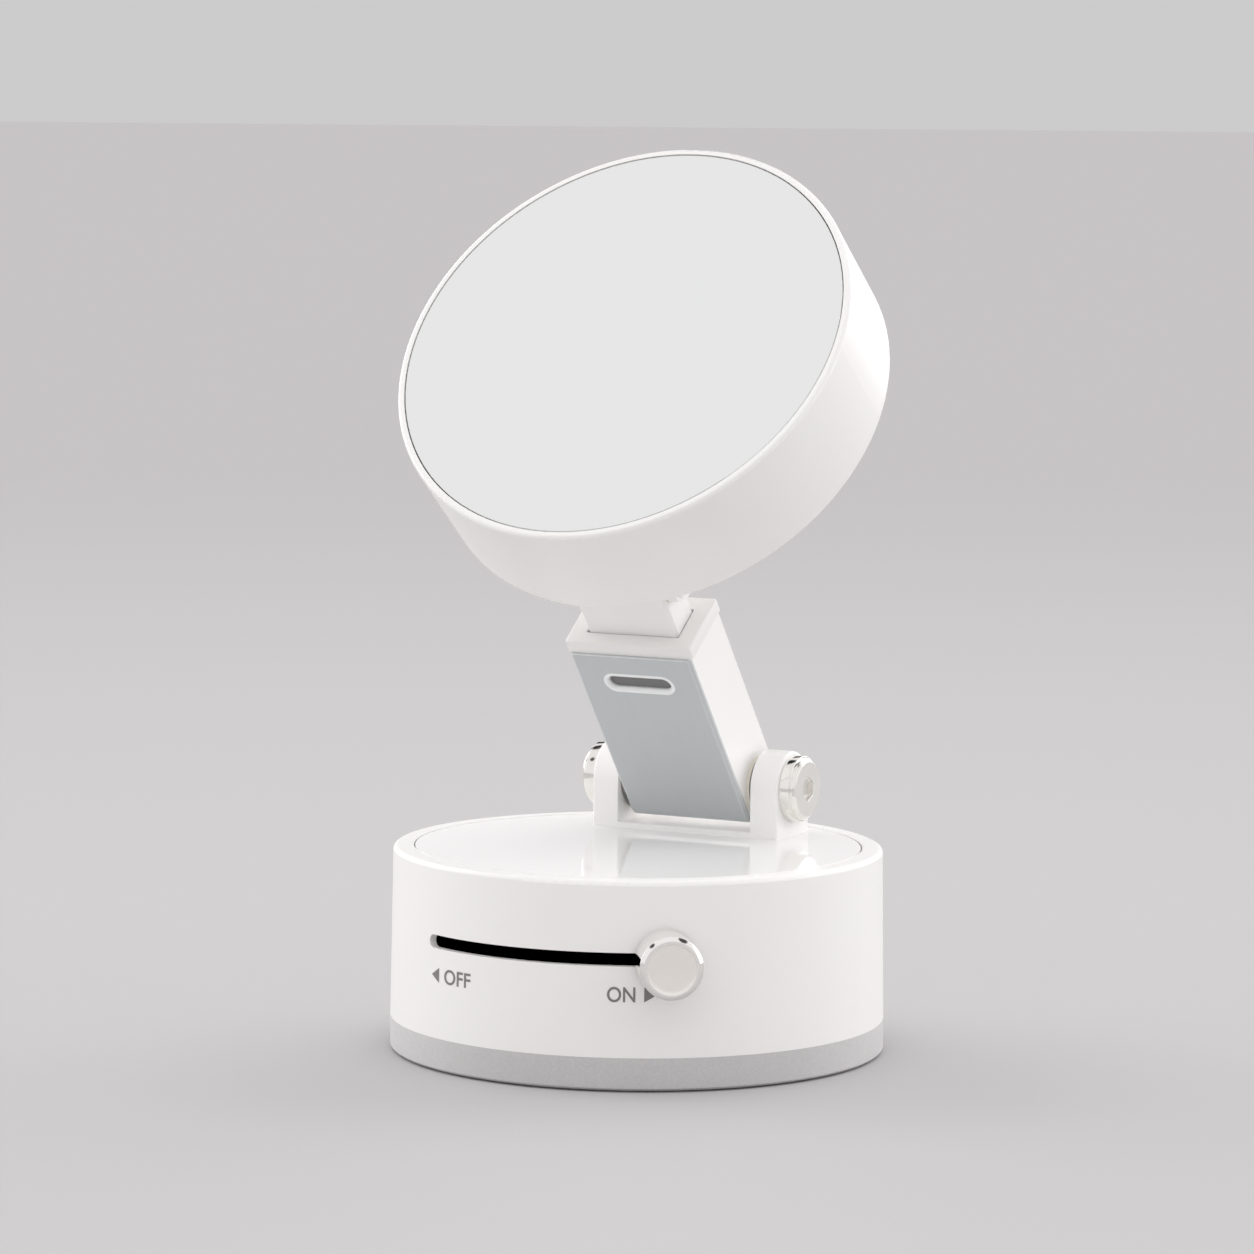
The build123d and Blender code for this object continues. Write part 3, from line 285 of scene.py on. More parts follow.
def pearlNickel(angle, height):
    look = pearlLook
    material, tree, place = startMaterial("pearlNickel")
    axis = outward(angle)
    moved = addNode(tree, "ShaderNodeVectorMath", {0: place, 1: (0, 0, height * mm)}, operation="SUBTRACT")
    along = addNode(tree, "ShaderNodeVectorMath",
                    {0: moved, 1: axis}, operation="DOT_PRODUCT").outputs["Value"]
    onAxis = addNode(tree, "ShaderNodeVectorMath", {0: axis, "Scale": along}, operation="SCALE")
    away = addNode(tree, "ShaderNodeVectorMath", {0: moved, 1: onAxis}, operation="SUBTRACT")
    radius = addNode(tree, "ShaderNodeVectorMath", {0: away}, operation="LENGTH").outputs["Value"]
    edge, band = look["dishEdge"] * mm, look["dishBand"] * mm
    rim = addNode(tree, "ShaderNodeMapRange",
                  {"Value": radius, "From Min": edge - band, "From Max": edge + band})
    cloud = addNode(tree, "ShaderNodeTexNoise", {"Vector": place, "Scale": perMetre(look["cloudSize"])})
    satin = addNode(tree, "ShaderNodeMix",
                    {"Factor": cloud, 6: look["colour"], 7: look["cloud"]}, data_type="RGBA")
    colour = addNode(tree, "ShaderNodeMix", {"Factor": rim, 6: satin, 7: look["rimColour"]}, data_type="RGBA")
    roughness = addNode(tree, "ShaderNodeMapRange", {"Value": rim, "To Min": look["dishRoughness"],
                                                     "To Max": look["rimRoughness"]})
    metal = addNode(tree, "ShaderNodeMapRange", {"Value": rim, "To Min": look["dishMetal"], "To Max": 1.0})
    grain = addNode(tree, "ShaderNodeTexNoise", {"Vector": place, "Scale": perMetre(look["grainSize"])})
    bump = addNode(tree, "ShaderNodeBump",
                   {"Height": grain, "Distance": look["grainDepth"] * mm, "Strength": 0.2})
    return endMaterial(material, {"Base Color": colour, "Roughness": roughness,
                                  "Normal": bump, "Metallic": metal})


# Silvered float glass: a true mirror with the lightest trace of wiping, and a greenish
# grey edge.
mirrorLook = {"colour": "#F5F7F6", "roughness": (0.0, 0.012), "wipeSize": 3.0, "edgeColour": "#9BA5A3",
              "edgeWidth": 0.1}


def silveredGlass():
    look = mirrorLook
    material, tree, place = startMaterial("silveredGlass")
    along = addNode(tree, "ShaderNodeVectorMath", {0: place, 1: (1.0, 0.15, 0.15)}, operation="MULTIPLY")
    wipe = addNode(tree, "ShaderNodeTexNoise",
                   {"Vector": along, "Scale": perMetre(look["wipeSize"]), "Detail": 3.0})
    low, high = look["roughness"]
    roughness = addNode(tree, "ShaderNodeMapRange", {"Value": wipe, "From Min": 0.45, "From Max": 0.75,
                                                     "To Min": low, "To Max": high})
    rounded = addNode(tree, "ShaderNodeBevel", {"Radius": look["edgeWidth"] * mm}, samples=4)
    face = addNode(tree, "ShaderNodeNewGeometry").outputs["Normal"]
    turn = addNode(tree, "ShaderNodeVectorMath",
                   {0: rounded, 1: face}, operation="DOT_PRODUCT").outputs["Value"]
    edge = addNode(tree, "ShaderNodeMapRange", {"Value": turn, "From Min": 0.75, "From Max": 0.995,
                                                "To Min": 1.0, "To Max": 0.0})
    colour = addNode(tree, "ShaderNodeMix", {"Factor": edge, 6: look["colour"], 7: look["edgeColour"]},
                     data_type="RGBA")
    return endMaterial(material, {"Base Color": colour, "Roughness": roughness, "Metallic": 1.0})


# Soft TPU, moulded against a polished tool: milky, a little see-through, satin.
tpuLook = {
    "colour": "#E3E6E6", "cloud": "#D5D9D9", "cloudSize": 4.0, "roughness": (0.35, 0.5), "grainSize": 0.4,
    "grainDepth": 0.004,
}


def softTpu():
    look = tpuLook
    material, tree, place = startMaterial("softTpu")
    cloud = addNode(tree, "ShaderNodeTexNoise", {"Vector": place, "Scale": perMetre(look["cloudSize"])})
    colour = addNode(tree, "ShaderNodeMix",
                     {"Factor": cloud, 6: look["colour"], 7: look["cloud"]}, data_type="RGBA")
    low, high = look["roughness"]
    roughness = addNode(tree, "ShaderNodeMapRange", {"Value": cloud, "From Min": 0.3, "From Max": 0.7,
                                                     "To Min": low, "To Max": high})
    grain = addNode(tree, "ShaderNodeTexNoise", {"Vector": place, "Scale": perMetre(look["grainSize"])})
    bump = addNode(tree, "ShaderNodeBump",
                   {"Height": grain, "Distance": look["grainDepth"] * mm, "Strength": 0.4})
    return endMaterial(material, {"Base Color": colour, "Roughness": roughness, "Normal": bump, "IOR": 1.5,
                                  "Subsurface Weight": 0.25, "Subsurface Scale": 0.002})


# Acetal, moulded: waxy and slightly uneven, with a dry sheen.
acetalLook = {"cloudSize": 3.0, "roughness": (0.38, 0.5), "grainSize": 0.35, "grainDepth": 0.006}


def acetal(name, baseColour, cloudColour, sheen):
    look = acetalLook
    material, tree, place = startMaterial(name)
    cloud = addNode(tree, "ShaderNodeTexNoise", {"Vector": place, "Scale": perMetre(look["cloudSize"])})
    colour = addNode(tree, "ShaderNodeMix",
                     {"Factor": cloud, 6: baseColour, 7: cloudColour}, data_type="RGBA")
    grain = addNode(tree, "ShaderNodeTexNoise", {"Vector": place, "Scale": perMetre(look["grainSize"]),
                                                 "Detail": 3.0})
    low, high = look["roughness"]
    roughness = addNode(tree, "ShaderNodeMapRange", {"Value": grain, "From Min": 0.3, "From Max": 0.7,
                                                     "To Min": low, "To Max": high})
    bump = addNode(tree, "ShaderNodeBump",
                   {"Height": grain, "Distance": look["grainDepth"] * mm, "Strength": 0.5})
    return endMaterial(material, {"Base Color": colour, "Roughness": roughness, "Normal": bump, "IOR": 1.48,
                                  "Specular IOR Level": sheen})


# Steel hardware. Zinc plate has a bluish bloom, drawn spring wire has lines along it, and
# the black oxide is painted shade: near-black steel for the spring seen through the slot.
steelLook = {
    "zinc": {"name": "zincPlatedSteel", "colour": "#C3C5C6", "bloom": "#B0B4B8", "roughness": (0.25, 0.4),
             "lineSize": 0.3},
    "spring": {"name": "springSteel", "colour": "#A9A8A6", "bloom": "#8F8E8C", "roughness": (0.22, 0.35),
               "lineSize": 0.15},
    "oxideShade": {"name": "blackenedSpringSteelPaintedShade", "colour": "#0C0C0D", "bloom": "#080808", "roughness": (0.45, 0.6),
              "lineSize": 0.15},
    "bloomSize": 1.5, "lineDepth": 0.003,
}


def plainSteel(kind):
    look = steelLook[kind]
    material, tree, place = startMaterial(look["name"])
    cloud = addNode(tree, "ShaderNodeTexNoise", {"Vector": place, "Scale": perMetre(steelLook["bloomSize"]),
                                                 "Detail": 3.0})
    colour = addNode(tree, "ShaderNodeMix",
                     {"Factor": cloud, 6: look["colour"], 7: look["bloom"]}, data_type="RGBA")
    low, high = look["roughness"]
    roughness = addNode(tree, "ShaderNodeMapRange", {"Value": cloud, "From Min": 0.3, "From Max": 0.7,
                                                     "To Min": low, "To Max": high})
    along = addNode(tree, "ShaderNodeVectorMath", {0: place, 1: (1.0, 1.0, 0.1)}, operation="MULTIPLY")
    lines = addNode(tree, "ShaderNodeTexNoise", {"Vector": along, "Scale": perMetre(look["lineSize"])})
    bump = addNode(tree, "ShaderNodeBump", {"Height": lines, "Distance": steelLook["lineDepth"] * mm,
                                            "Strength": 0.4})
    return endMaterial(material, {"Base Color": colour, "Roughness": roughness,
                                  "Normal": bump, "Metallic": 1.0})


# Closed-cell acrylic foam tape: dull charcoal with tiny cells.
foamLook = {"colour": "#2A2B2D", "cell": "#1A1B1C", "cellSize": 0.35, "cellDepth": 0.03}


def foamTape():
    look = foamLook
    material, tree, place = startMaterial("foamTape")
    cells = addNode(tree, "ShaderNodeTexVoronoi", {"Vector": place, "Scale": perMetre(look["cellSize"])})
    colour = addNode(tree, "ShaderNodeMix",
                     {"Factor": cells, 6: look["colour"], 7: look["cell"]}, data_type="RGBA")
    bump = addNode(tree, "ShaderNodeBump",
                   {"Height": cells, "Distance": look["cellDepth"] * mm, "Strength": 0.6})
    return endMaterial(material, {"Base Color": colour, "Normal": bump, "Roughness": 0.9})


# Pad-printed ink: flat warm grey, a little thin in places.
inkLook = {
    "colour": "#7C7A78", "thin": "#868482", "patchSize": 0.25,
    "roughness": (0.45, 0.6), "patchDepth": 0.002,
}


def printedInk():
    look = inkLook
    material, tree, place = startMaterial("printedInk")
    patch = addNode(tree, "ShaderNodeTexNoise", {"Vector": place, "Scale": perMetre(look["patchSize"]),
                                                 "Detail": 3.0})
    colour = addNode(tree, "ShaderNodeMix",
                     {"Factor": patch, 6: look["colour"], 7: look["thin"]}, data_type="RGBA")
    low, high = look["roughness"]
    roughness = addNode(tree, "ShaderNodeMapRange", {"Value": patch, "From Min": 0.3, "From Max": 0.7,
                                                     "To Min": low, "To Max": high})
    bump = addNode(tree, "ShaderNodeBump",
                   {"Height": patch, "Distance": look["patchDepth"] * mm, "Strength": 0.4})
    return endMaterial(material, {"Base Color": colour, "Roughness": roughness, "Normal": bump, "IOR": 1.5})


hinge = Vector((0, layout["hingeY"], layout["hingeZ"])) * mm
finishes = {
    "white_abs": mouldedAbs("mouldedAbs"),
    "white_acrylic": castAcrylic(),
    "silver_ring": silverLacquer(),
    "anodised_aluminium": anodisedAluminium("anodisedAluminium", anodisedLook["colour"], anodisedLook["streak"]),
    "nickel": nickelPlate(hinge),
    "knob_nickel": pearlNickel(layout["knobAngle"], layout["slotHeight"]),
    "tpu": softTpu(),
    "black_pom": acetal("blackAcetal", "#050505", "#080808", 0.0),
    "natural_pom": acetal("naturalAcetal", "#EFEBE0", "#E4DFD2", 0.5),
    "steel": plainSteel("zinc"),
    "spring_steel": plainSteel("spring"),
    "foam": foamTape(),
    "mirror": silveredGlass(),
}
# painted shade: this copy of the ABS darkens the housing's cavity seen through the slot
housingShadedFinish = mouldedAbs("mouldedAbsHousingShadedInside", paintedShadeInside=True)
inkFinish = printedInk()
# painted shade: a greyer copy of the white ABS for the collar, standing in for the shade under the head
collarShadedFinish = mouldedAbs("mouldedAbsPaintedShade", absLook["collarShadeColour"])
# painted shade: the brake pad is mid grey, standing in for the shade inside the window
padShadeFinish = acetal("greyAcetalPaintedShade", "#7A7A7A", "#727272", 0.4)
# painted highlight: a near-white copy of the anodised finish for the window's lip, standing in for its bright
# rim of light
lipHighlightFinish = anodisedAluminium("lipPaintedHighlight", anodisedLook["lipHighlightColour"], anodisedLook["lipHighlightStreak"])
ownFinishes = {
    "base_housing": housingShadedFinish, "brake_pad": padShadeFinish,
    # painted shade: the follower and the return spring are near black so that the slot shows shade
    "follower": finishes["black_pom"], "return_spring": plainSteel("oxideShade"),      # seen through the slot
}

for part in frame["record"]["subparts"]:
    cadNode = frame["nodes"][part["node"]]
    cadNode.data.materials.clear()
    cadNode.data.materials.append(ownFinishes.get(part["node"], finishes[part["material_slot"]]))
print("materials ready:", len(bpy.data.materials))


def makePiece(name, build, material, body, replaced=(), smoothAngle=35):
    # build is a bmesh in metres; faces are smooth up to smoothAngle degrees
    mesh = bpy.data.meshes.new(name)
    bmesh.ops.recalc_face_normals(build, faces=build.faces)
    build.to_mesh(mesh)
    build.free()
    piece = bpy.data.objects.new(name, mesh)
    bpy.context.scene.collection.objects.link(piece)
    mesh.materials.append(material)
    mesh.shade_smooth()
    mesh.set_sharp_from_angle(angle=radians(smoothAngle))
    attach(piece, body)
    if replaced:
        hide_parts(*replaced)
    return piece


def loft(loops, matrix, closeStart=True, closeEnd=True):
    # skins closed loops of the same number of points, given in millimetres
    build = bmesh.new()
    rows = [[build.verts.new(matrix @ (Vector(p) * mm)) for p in loop] for loop in loops]
    for low, high in zip(rows, rows[1:]):
        for i in range(len(low)):
            j = (i + 1) % len(low)
            build.faces.new((low[i], low[j], high[j], high[i]))
    if closeStart:
        build.faces.new(rows[0])
    if closeEnd:
        build.faces.new(rows[-1])
    return build


def arc(centre, radius, start, end, steps=6):
    # points on an arc in a profile, angles in degrees
    turns = [radians(start + (end - start) * i / steps) for i in range(steps + 1)]
    return [(centre[0] + radius * cos(t), centre[1] + radius * sin(t)) for t in turns]


def ring(radius, height, count):
    turns = [2 * pi * i / count for i in range(count)]
    return [(radius * cos(turn), radius * sin(turn), height) for turn in turns]


def hexRing(acrossFlats, height, count):
    # points on a hexagon, at the same angles as a ring's
    points = []
    for i in range(count):
        angle = 2 * pi * i / count
        radius = acrossFlats / 2 / cos((angle % (pi / 3)) - pi / 6)
        points.append((radius * cos(angle), radius * sin(angle), height))
    return points


def roundedRectangle(halfWidth, halfDepth, corner, height, steps=6):
    points = []
    for x, y, start in ((1, 1, 0), (-1, 1, 90), (-1, -1, 180), (1, -1, 270)):
        centre = (x * (halfWidth - corner), y * (halfDepth - corner))
        points += [(px, py, height) for px, py in arc(centre, corner, start, start + 90, steps)]
    return points


# Slider knob, turned and plated
knob = {
    "radius": 4.45, "backRadius": 36.26, "faceRadius": 43.6, "backEdge": 0.2, "softEdge": 0.08, "chamfer": 0.5,
    "postRadius": 0.75, "postDepth": 2.4, "dishRadius": 3.55, "dishDepth": 0.22, "dishSteps": 12,
    "dishLip": ((0.02, 0.0), (-0.06, 0.03), (-0.16, 0.1)),      # (out from the dish's edge, depth)
    "centre": 0.02, "segments": 160,
}


def buildKnob():
    length = knob["faceRadius"] - knob["backRadius"]
    radius, soft = knob["radius"], knob["softEdge"]
    profile = [(knob["postRadius"], knob["postDepth"]), (knob["postRadius"], 0)]
    profile += arc((radius - knob["backEdge"], knob["backEdge"]), knob["backEdge"], -90, 0)
    edge = length - knob["chamfer"]
    profile += arc((radius - soft, edge - soft), soft, 0, 45, 3)
    profile += arc((radius - knob["chamfer"] - soft, length - soft), soft, 45, 90, 3)
    # the dish is a shallow saucer with a soft lip
    profile += [(knob["dishRadius"] + out, length - depth) for out, depth in knob["dishLip"]]
    saucer = profile[-1][0]
    for i in range(1, knob["dishSteps"] + 1):
        share = i / knob["dishSteps"]
        depth = knob["dishDepth"] * (1 - (1 - share) ** 2 / 2)
        profile.append((saucer * (1 - share) + knob["centre"] * share, length - depth))
    loops = [ring(r, h, knob["segments"]) for r, h in profile]
    across = Vector((cos(radians(layout["knobAngle"])), sin(radians(layout["knobAngle"])), 0))
    out = outward(layout["knobAngle"])
    origin = out * knob["backRadius"] + Vector((0, 0, layout["slotHeight"]))
    return loft(loops, placed(origin, out, across))


makePiece("sliderKnobTurned", buildKnob(), finishes["knob_nickel"], "lock", ["slider_knob"])
print("slider knob built")


# Hinge caps, with a hexagon socket each
cap = {
    "radius": 4.85, "band": 1.65, "height": 2.5, "step": 0.3, "chamfer": 0.45, "face": 15.35,
    "edge": 0.07, "bore": 2.0, "boreDepth": 1.5, "socket": 3.2, "socketDepth": 0.6,
    "socketLip": ((0.2, 0.0), (0.06, 0.05), (0.0, 0.16)),       # (wider than the socket, depth)
    "stepFillet": (0.04, 0.05), "drillRadius": 0.5, "drillDepth": 0.12, "segments": 144,
}


def buildCap(side):
    r, inner, e = cap["radius"], cap["radius"] - cap["step"], cap["edge"]
    top, count = cap["height"], cap["segments"]
    fillet, fillHeight = cap["stepFillet"]
    profile = [(cap["bore"], cap["boreDepth"]), (cap["bore"], 0)] + arc((r - e, e), e, -90, 0, 3)
    profile += arc((r - e, cap["band"] - e), e, 0, 90, 3)
    profile += [(inner + fillet, cap["band"]), (inner, cap["band"] + fillHeight)]
    profile += arc((inner - e, top - cap["chamfer"] - e), e, 0, 45, 3)
    profile += arc((inner - cap["chamfer"] - e, top - e), e, 45, 90, 3)
    loops = [ring(pr, ph, count) for pr, ph in profile]
    loops += [hexRing(cap["socket"] + wider, top - depth, count) for wider, depth in cap["socketLip"]]
    floor = top - cap["socketDepth"]
    loops.append(hexRing(cap["socket"], floor, count))
    loops.append(ring(cap["drillRadius"], floor - cap["drillDepth"], count))
    axis = Vector((side, 0, 0))
    origin = axis * cap["face"] + Vector((0, layout["hingeY"], layout["hingeZ"]))
    return loft(loops, placed(origin, axis, (0, 0, 1)))


for side, sideName in ((-1, "Left"), (1, "Right")):
    makePiece("hingeCap" + sideName, buildCap(side), finishes["nickel"], "turntable",
              ["pivot_cap_" + sideName.lower()])
print("hinge caps built")


# Collar at the top of the sleeve
collar = {
    "halfWidth": 10.2, "front": 5.35, "back": 5.65, "height": 2.1, "start": 30.3, "corner": 0.5,
    "edge": 0.28, "footEdge": 0.02, "holeHalfWidth": 7.5, "holeHalfDepth": 3.05, "holeEdge": 0.2,
    "holeCorner": 0.12, "cornerShare": 0.6,      # how much of an inset its corner radius loses
}


def buildCollar():
    middle = (collar["back"] - collar["front"]) / 2
    halfDepth = (collar["back"] + collar["front"]) / 2
    e, top = collar["edge"], collar["height"]

    def outer(inset, height):
        points = roundedRectangle(collar["halfWidth"] - inset, halfDepth - inset,
                                  collar["corner"] - inset * collar["cornerShare"], height)
        return [(x, y + middle, z) for x, y, z in points]

    def hole(inset, height):
        return roundedRectangle(collar["holeHalfWidth"] + inset, collar["holeHalfDepth"] + inset,
                                collar["holeCorner"] + inset, height)

    foot = collar["footEdge"]
    loops = [hole(0, 0), outer(foot, 0), outer(0, foot)]
    loops += [outer(e * (1 - cos(radians(a))), top - e * (1 - sin(radians(a)))) for a in range(0, 91, 15)]
    h = collar["holeEdge"]
    loops += [hole(h * (1 - sin(radians(a))), top - h * (1 - cos(radians(a)))) for a in range(0, 91, 15)]
    loops += [hole(0, 0)]
    lean = radians(layout["armLean"])
    axis = Vector((0, -sin(lean), cos(lean)))
    origin = Vector((0, layout["hingeY"], layout["hingeZ"])) + axis * collar["start"]
    build = loft(loops, placed(origin, axis, (1, 0, 0)), False, False)
    bmesh.ops.remove_doubles(build, verts=build.verts, dist=0.0001 * mm)
    return build


makePiece("collarMoulding", buildCollar(), collarShadedFinish, "outer_arm", ["sleeve_collar"])
print("collar built")


# Rolled lip round the window in the sleeve's front plate
lip = {
    "length": 11.1, "height": 3.2, "along": 25.04, "front": 5.7, "bevel": 0.55, "overlap": 0.22,
    "rise": 0.1, "depth": 0.66, "segments": 20,
    # (in from the edge, share of the rise) and (out from the opening, height)
    "crown": ((0.0, 0.0), (0.05, 0.45), (0.16, 0.9), (0.3, 1.0), (0.46, 0.55)),
    "throat": ((0.17, -0.09), (0.06, -0.26), (0.0, -0.42)),
    "wall": 0.012, "wallTop": -0.535, "seat": 0.005,
}


def buildLip():
    # the profile is (distance outside the opening, height above the plate), laid round a pill
    edge = lip["overlap"] + lip["bevel"]
    profile = [(edge - inward, lip["rise"] * share) for inward, share in lip["crown"]]
    profile += list(lip["throat"]) + [(0.0, -lip["depth"]), (lip["wall"], -lip["depth"])]
    profile += [(lip["wall"], lip["wallTop"]), (lip["bevel"] + lip["seat"], lip["seat"])]
    radius = lip["height"] / 2 - lip["bevel"]
    straight = (lip["length"] - lip["height"]) / 2
    loops = []
    for out, height in profile + profile[:1]:
        points = arc((straight, 0), radius + out, -90, 90, lip["segments"])
        points += arc((-straight, 0), radius + out, 90, 270, lip["segments"])
        loops.append([(x, y, height) for x, y in points])
    lean = radians(layout["armLean"])
    axis = Vector((0, -sin(lean), cos(lean)))
    front = Vector((0, -cos(lean), -sin(lean)))
    origin = Vector((0, layout["hingeY"], layout["hingeZ"])) + axis * lip["along"] + front * lip["front"]
    build = loft(loops, placed(origin, front, (1, 0, 0)), False, False)
    bmesh.ops.remove_doubles(build, verts=build.verts, dist=0.0001 * mm)
    return build


makePiece("windowLip", buildLip(), lipHighlightFinish, "outer_arm", smoothAngle=60)
print("window lip built")


# Printed words and arrows on the base
words = {
    "capHeight": 2.15, "skin": 36.0, "draft": 0.38, "draftFoot": 4.9, "draftTop": 29.7,
    "proud": 0.03, "bold": 0.012, "arrowHalfHeight": 1.05, "longestEdge": 0.35, "splits": 3,
    "off": {
        "text": "OFF", "width": 1.065, "right": -13.0, "arrowTip": -26.3, "arrowBase": -23.6, "height": 14.0,
    },
    "on": {"text": "ON", "width": 0.883, "left": 21.2, "arrowTip": 32.4, "arrowBase": 29.5, "height": 13.83},
}


def wrapOnBase(build, startAngle, middle):
    # a flat drawing in millimetres, bent round the base's side; its x runs from startAngle
    for vert in build.verts:
        x, y, z = vert.co
        height = middle + y
        slope = (height - words["draftFoot"]) / (words["draftTop"] - words["draftFoot"])
        skin = words["skin"] - words["draft"] * slope
        angle = startAngle + x / (skin * pi / 180)
        point = outward(angle) * (skin + z)
        vert.co = (point + Vector((0, 0, height))) * mm


def drawWord(text, widen):
    # letters as a flat mesh, scaled to the capital height, starting at x = 0
    curve = bpy.data.curves.new("letters", "FONT")
    curve.body = text
    curve.size = 1
    curve.offset = words["bold"]
    holder = bpy.data.objects.new("letters", curve)
    bpy.context.scene.collection.objects.link(holder)
    bpy.context.view_layer.update()
    mesh = bpy.data.meshes.new_from_object(holder)
    build = bmesh.new()
    build.from_mesh(mesh)
    bpy.data.objects.remove(holder)
    xs = [v.co.x for v in build.verts]
    ys = [v.co.y for v in build.verts]
    scale = words["capHeight"] / (max(ys) - min(ys))
    middle = (max(ys) + min(ys)) / 2
    for vert in build.verts:
        vert.co = Vector(((vert.co.x - min(xs)) * scale * widen, (vert.co.y - middle) * scale, 0))
    return build, (max(xs) - min(xs)) * scale * widen


def thicken(build):
    # short edges, so that the print follows the round side, then a raised closed skin
    bmesh.ops.triangulate(build, faces=build.faces)
    for split in range(words["splits"]):
        long = [e for e in build.edges if e.calc_length() > words["longestEdge"]]
        bmesh.ops.subdivide_edges(build, edges=long, cuts=1)
        bmesh.ops.triangulate(build, faces=build.faces)
    up = bmesh.ops.extrude_face_region(build, geom=build.faces[:])
    raised = [g for g in up["geom"] if isinstance(g, bmesh.types.BMVert)]
    bmesh.ops.translate(build, verts=raised, vec=(0, 0, words["proud"]))


def printWord(name, setting):
    build, width = drawWord(setting["text"], setting["width"])
    thicken(build)
    degree = words["skin"] * pi / 180
    start = setting["left"] if "left" in setting else setting["right"] - width / degree
    wrapOnBase(build, start, setting["height"])
    makePiece(name, build, inkFinish, "base", smoothAngle=20)


def printArrow(name, setting):
    degree = words["skin"] * pi / 180
    length = (setting["arrowBase"] - setting["arrowTip"]) * degree
    build = bmesh.new()
    corners = [(0, 0, 0), (length, words["arrowHalfHeight"], 0), (length, -words["arrowHalfHeight"], 0)]
    build.faces.new([build.verts.new(c) for c in corners])
    thicken(build)
    wrapOnBase(build, setting["arrowTip"], setting["height"])
    makePiece(name, build, inkFinish, "base", smoothAngle=20)


printWord("wordOff", words["off"])
printWord("wordOn", words["on"])
printArrow("arrowOff", words["off"])
printArrow("arrowOn", words["on"])
print("printed words built")


# Stage, light and camera
studio = {
    "floorNear": "#C1C0C0", "floorFarShade": "#B6B4B5", "floorRadius": 40.0, "nearReach": 0.1, "farReach": 1.2,
    "skyHorizon": 0.61, "skyAbove": 0.87, "horizonTop": 0.03, "aboveFrom": 0.1,
    "tint": (1.0, 0.985, 0.992, 1.0),       # linear
    "boxTurn": 52, "boxLift": 12, "boxGain": 1.4, "boxInner": 26, "boxOuter": 40,
    "sideStrength": 0.36, "sideSoftness": 70, "sideLift": 0.2, "topStrength": 0.45, "topSoftness": 120,
    # dark cards: direction from the object, half angle in degrees and how much light they take
    "cards": (
        ((-0.467, 0.8, 0.4), 12, 0.85), ((-0.467, 0.35, 0.81), 13, 0.85),
        ((-0.457, -0.489, 0.738), 8, 0.8), ((0.447, 0.238, 0.858), 12, 0.8),
    ),
    "cardCore": 0.6,          # share of a card that is fully dark
}
view = {
    "azimuth": 28.0, "elevation": 5.851, "roll": 0.493, "distance": 732.0,
    "target": (-1.68, -0.893, 61.537), "lens": 144.86, "sensor": 36.0,
}


# Matt pale grey board, with painted shade: darker towards the back, where less light falls.
def buildFloor():
    build = bmesh.new()
    bmesh.ops.create_circle(build, cap_ends=True, segments=96, radius=studio["floorRadius"])
    mesh = bpy.data.meshes.new("studioFloor")
    build.to_mesh(mesh)
    build.free()
    floor = bpy.data.objects.new("studioFloor", mesh)
    bpy.context.scene.collection.objects.link(floor)
    material, tree, place = startMaterial("boardWithPaintedShade")
    reach = addNode(tree, "ShaderNodeVectorMath", {0: place}, operation="LENGTH").outputs["Value"]
    # painted shade: the board darkens with distance from the object, standing in for the light falling off
    far = addNode(tree, "ShaderNodeMapRange", {"Value": reach, "From Min": studio["nearReach"],
                                               "From Max": studio["farReach"]}, interpolation_type="SMOOTHSTEP")
    colour = addNode(tree, "ShaderNodeMix", {"Factor": far, 6: studio["floorNear"], 7: studio["floorFarShade"]},
                     data_type="RGBA")
    endMaterial(material, {"Base Color": colour, "Roughness": 0.9, "Specular IOR Level": 0.0})
    mesh.materials.append(material)


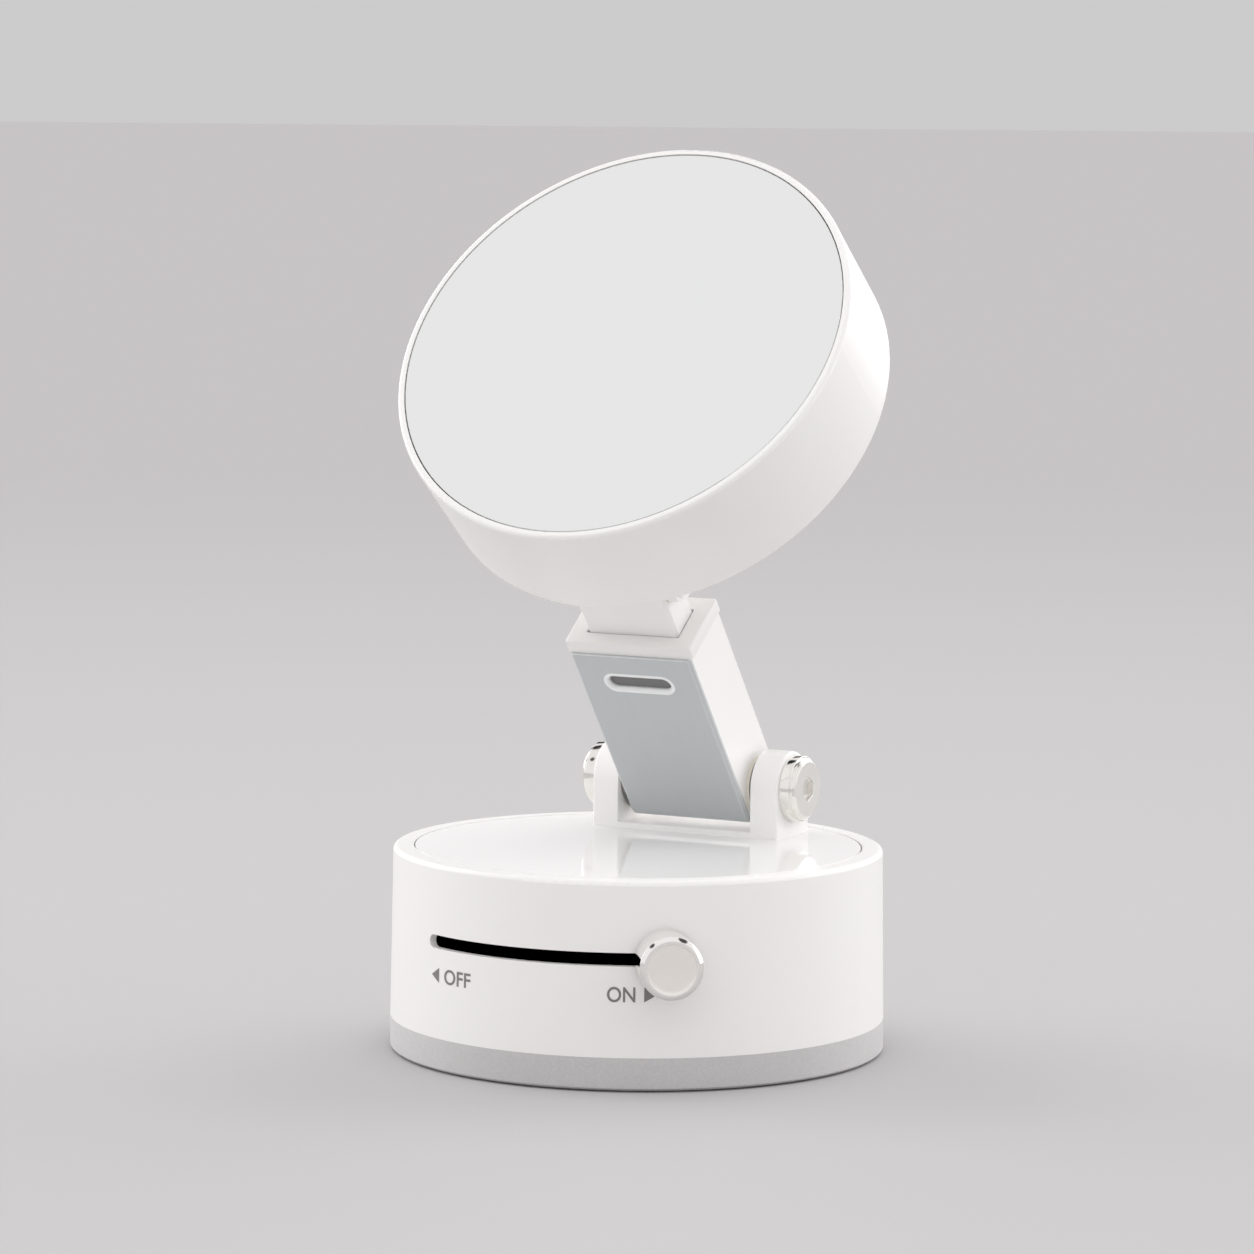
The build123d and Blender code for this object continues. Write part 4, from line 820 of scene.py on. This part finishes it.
def buildSky(boxes):
    # an even dome, paler than the horizon, with a large soft box each side and dark cards
    world = bpy.data.worlds.new("softStudio")
    bpy.context.scene.world = world
    world.use_nodes = True
    tree = world.node_tree
    tree.nodes.clear()
    direction = addNode(tree, "ShaderNodeTexCoord").outputs["Generated"]
    height = addNode(tree, "ShaderNodeSeparateXYZ", {0: direction}).outputs["Z"]
    level = addNode(tree, "ShaderNodeMapRange", {"Value": height, "From Min": studio["horizonTop"],
                                                 "From Max": studio["aboveFrom"], "To Min": studio["skyHorizon"],
                                                 "To Max": studio["skyAbove"]})
    patches = [(box, studio["boxInner"], studio["boxOuter"], studio["boxGain"]) for box in boxes]
    patches += [(Vector(card), angle * studio["cardCore"], angle, -dark)
                for card, angle, dark in studio["cards"]]
    for centre, inner, outer, gain in patches:
        near = addNode(tree, "ShaderNodeVectorMath", {0: direction, 1: centre.normalized()},
                       operation="DOT_PRODUCT").outputs["Value"]
        share = addNode(tree, "ShaderNodeMapRange", {"Value": near, "From Min": cos(radians(outer)),
                                                     "From Max": cos(radians(inner))},
                        interpolation_type="SMOOTHSTEP")
        level = addNode(tree, "ShaderNodeMath", {0: share, 1: gain, 2: level}, operation="MULTIPLY_ADD")
    background = addNode(tree, "ShaderNodeBackground", {"Color": studio["tint"], "Strength": level})
    addNode(tree, "ShaderNodeOutputWorld", {"Surface": background})


def addSun(name, direction, strength, softness):
    # direction points from the object to the light
    light = bpy.data.lights.new(name, "SUN")
    light.energy = strength
    light.angle = radians(softness)
    lamp = bpy.data.objects.new(name, light)
    bpy.context.scene.collection.objects.link(lamp)
    lamp.rotation_euler = Vector(direction).to_track_quat("Z", "Y").to_euler()
    lamp.visible_glossy = False


def buildCamera():
    a, e, r = radians(view["azimuth"]), radians(view["elevation"]), radians(view["roll"])
    back = Vector((sin(a) * cos(e), -cos(a) * cos(e), sin(e)))
    right = Vector((cos(a), sin(a), 0))
    up = back.cross(right)
    x = right * cos(r) + up * sin(r)
    y = up * cos(r) - right * sin(r)
    matrix = Matrix((x, y, back)).transposed().to_4x4()
    matrix.translation = (Vector(view["target"]) + back * view["distance"]) * mm
    camera = bpy.data.cameras.new("studioCamera")
    camera.lens = view["lens"]
    camera.sensor_width = view["sensor"]
    camera.sensor_fit = "HORIZONTAL"
    camera.clip_start = 0.01
    camera.clip_end = 200
    holder = bpy.data.objects.new("studioCamera", camera)
    bpy.context.scene.collection.objects.link(holder)
    holder.matrix_world = matrix
    bpy.context.scene.camera = holder
    return right


buildFloor()
rightOfView = buildCamera()
away = Vector((-rightOfView.y, rightOfView.x, 0))
turn, lift = radians(studio["boxTurn"]), Vector((0, 0, sin(radians(studio["boxLift"]))))
buildSky([away * cos(turn) + rightOfView * sin(turn) * side + lift for side in (-1, 1)])
addSun("rightSoftLight", rightOfView + Vector((0, 0, studio["sideLift"])),
       studio["sideStrength"], studio["sideSoftness"])
addSun("leftSoftLight", -rightOfView + Vector((0, 0, studio["sideLift"])),
       studio["sideStrength"], studio["sideSoftness"])
addSun("topSoftLight", (0, 0, 1), studio["topStrength"], studio["topSoftness"])
bpy.context.scene.view_settings.view_transform = "Standard"
print("stage, light and camera set")
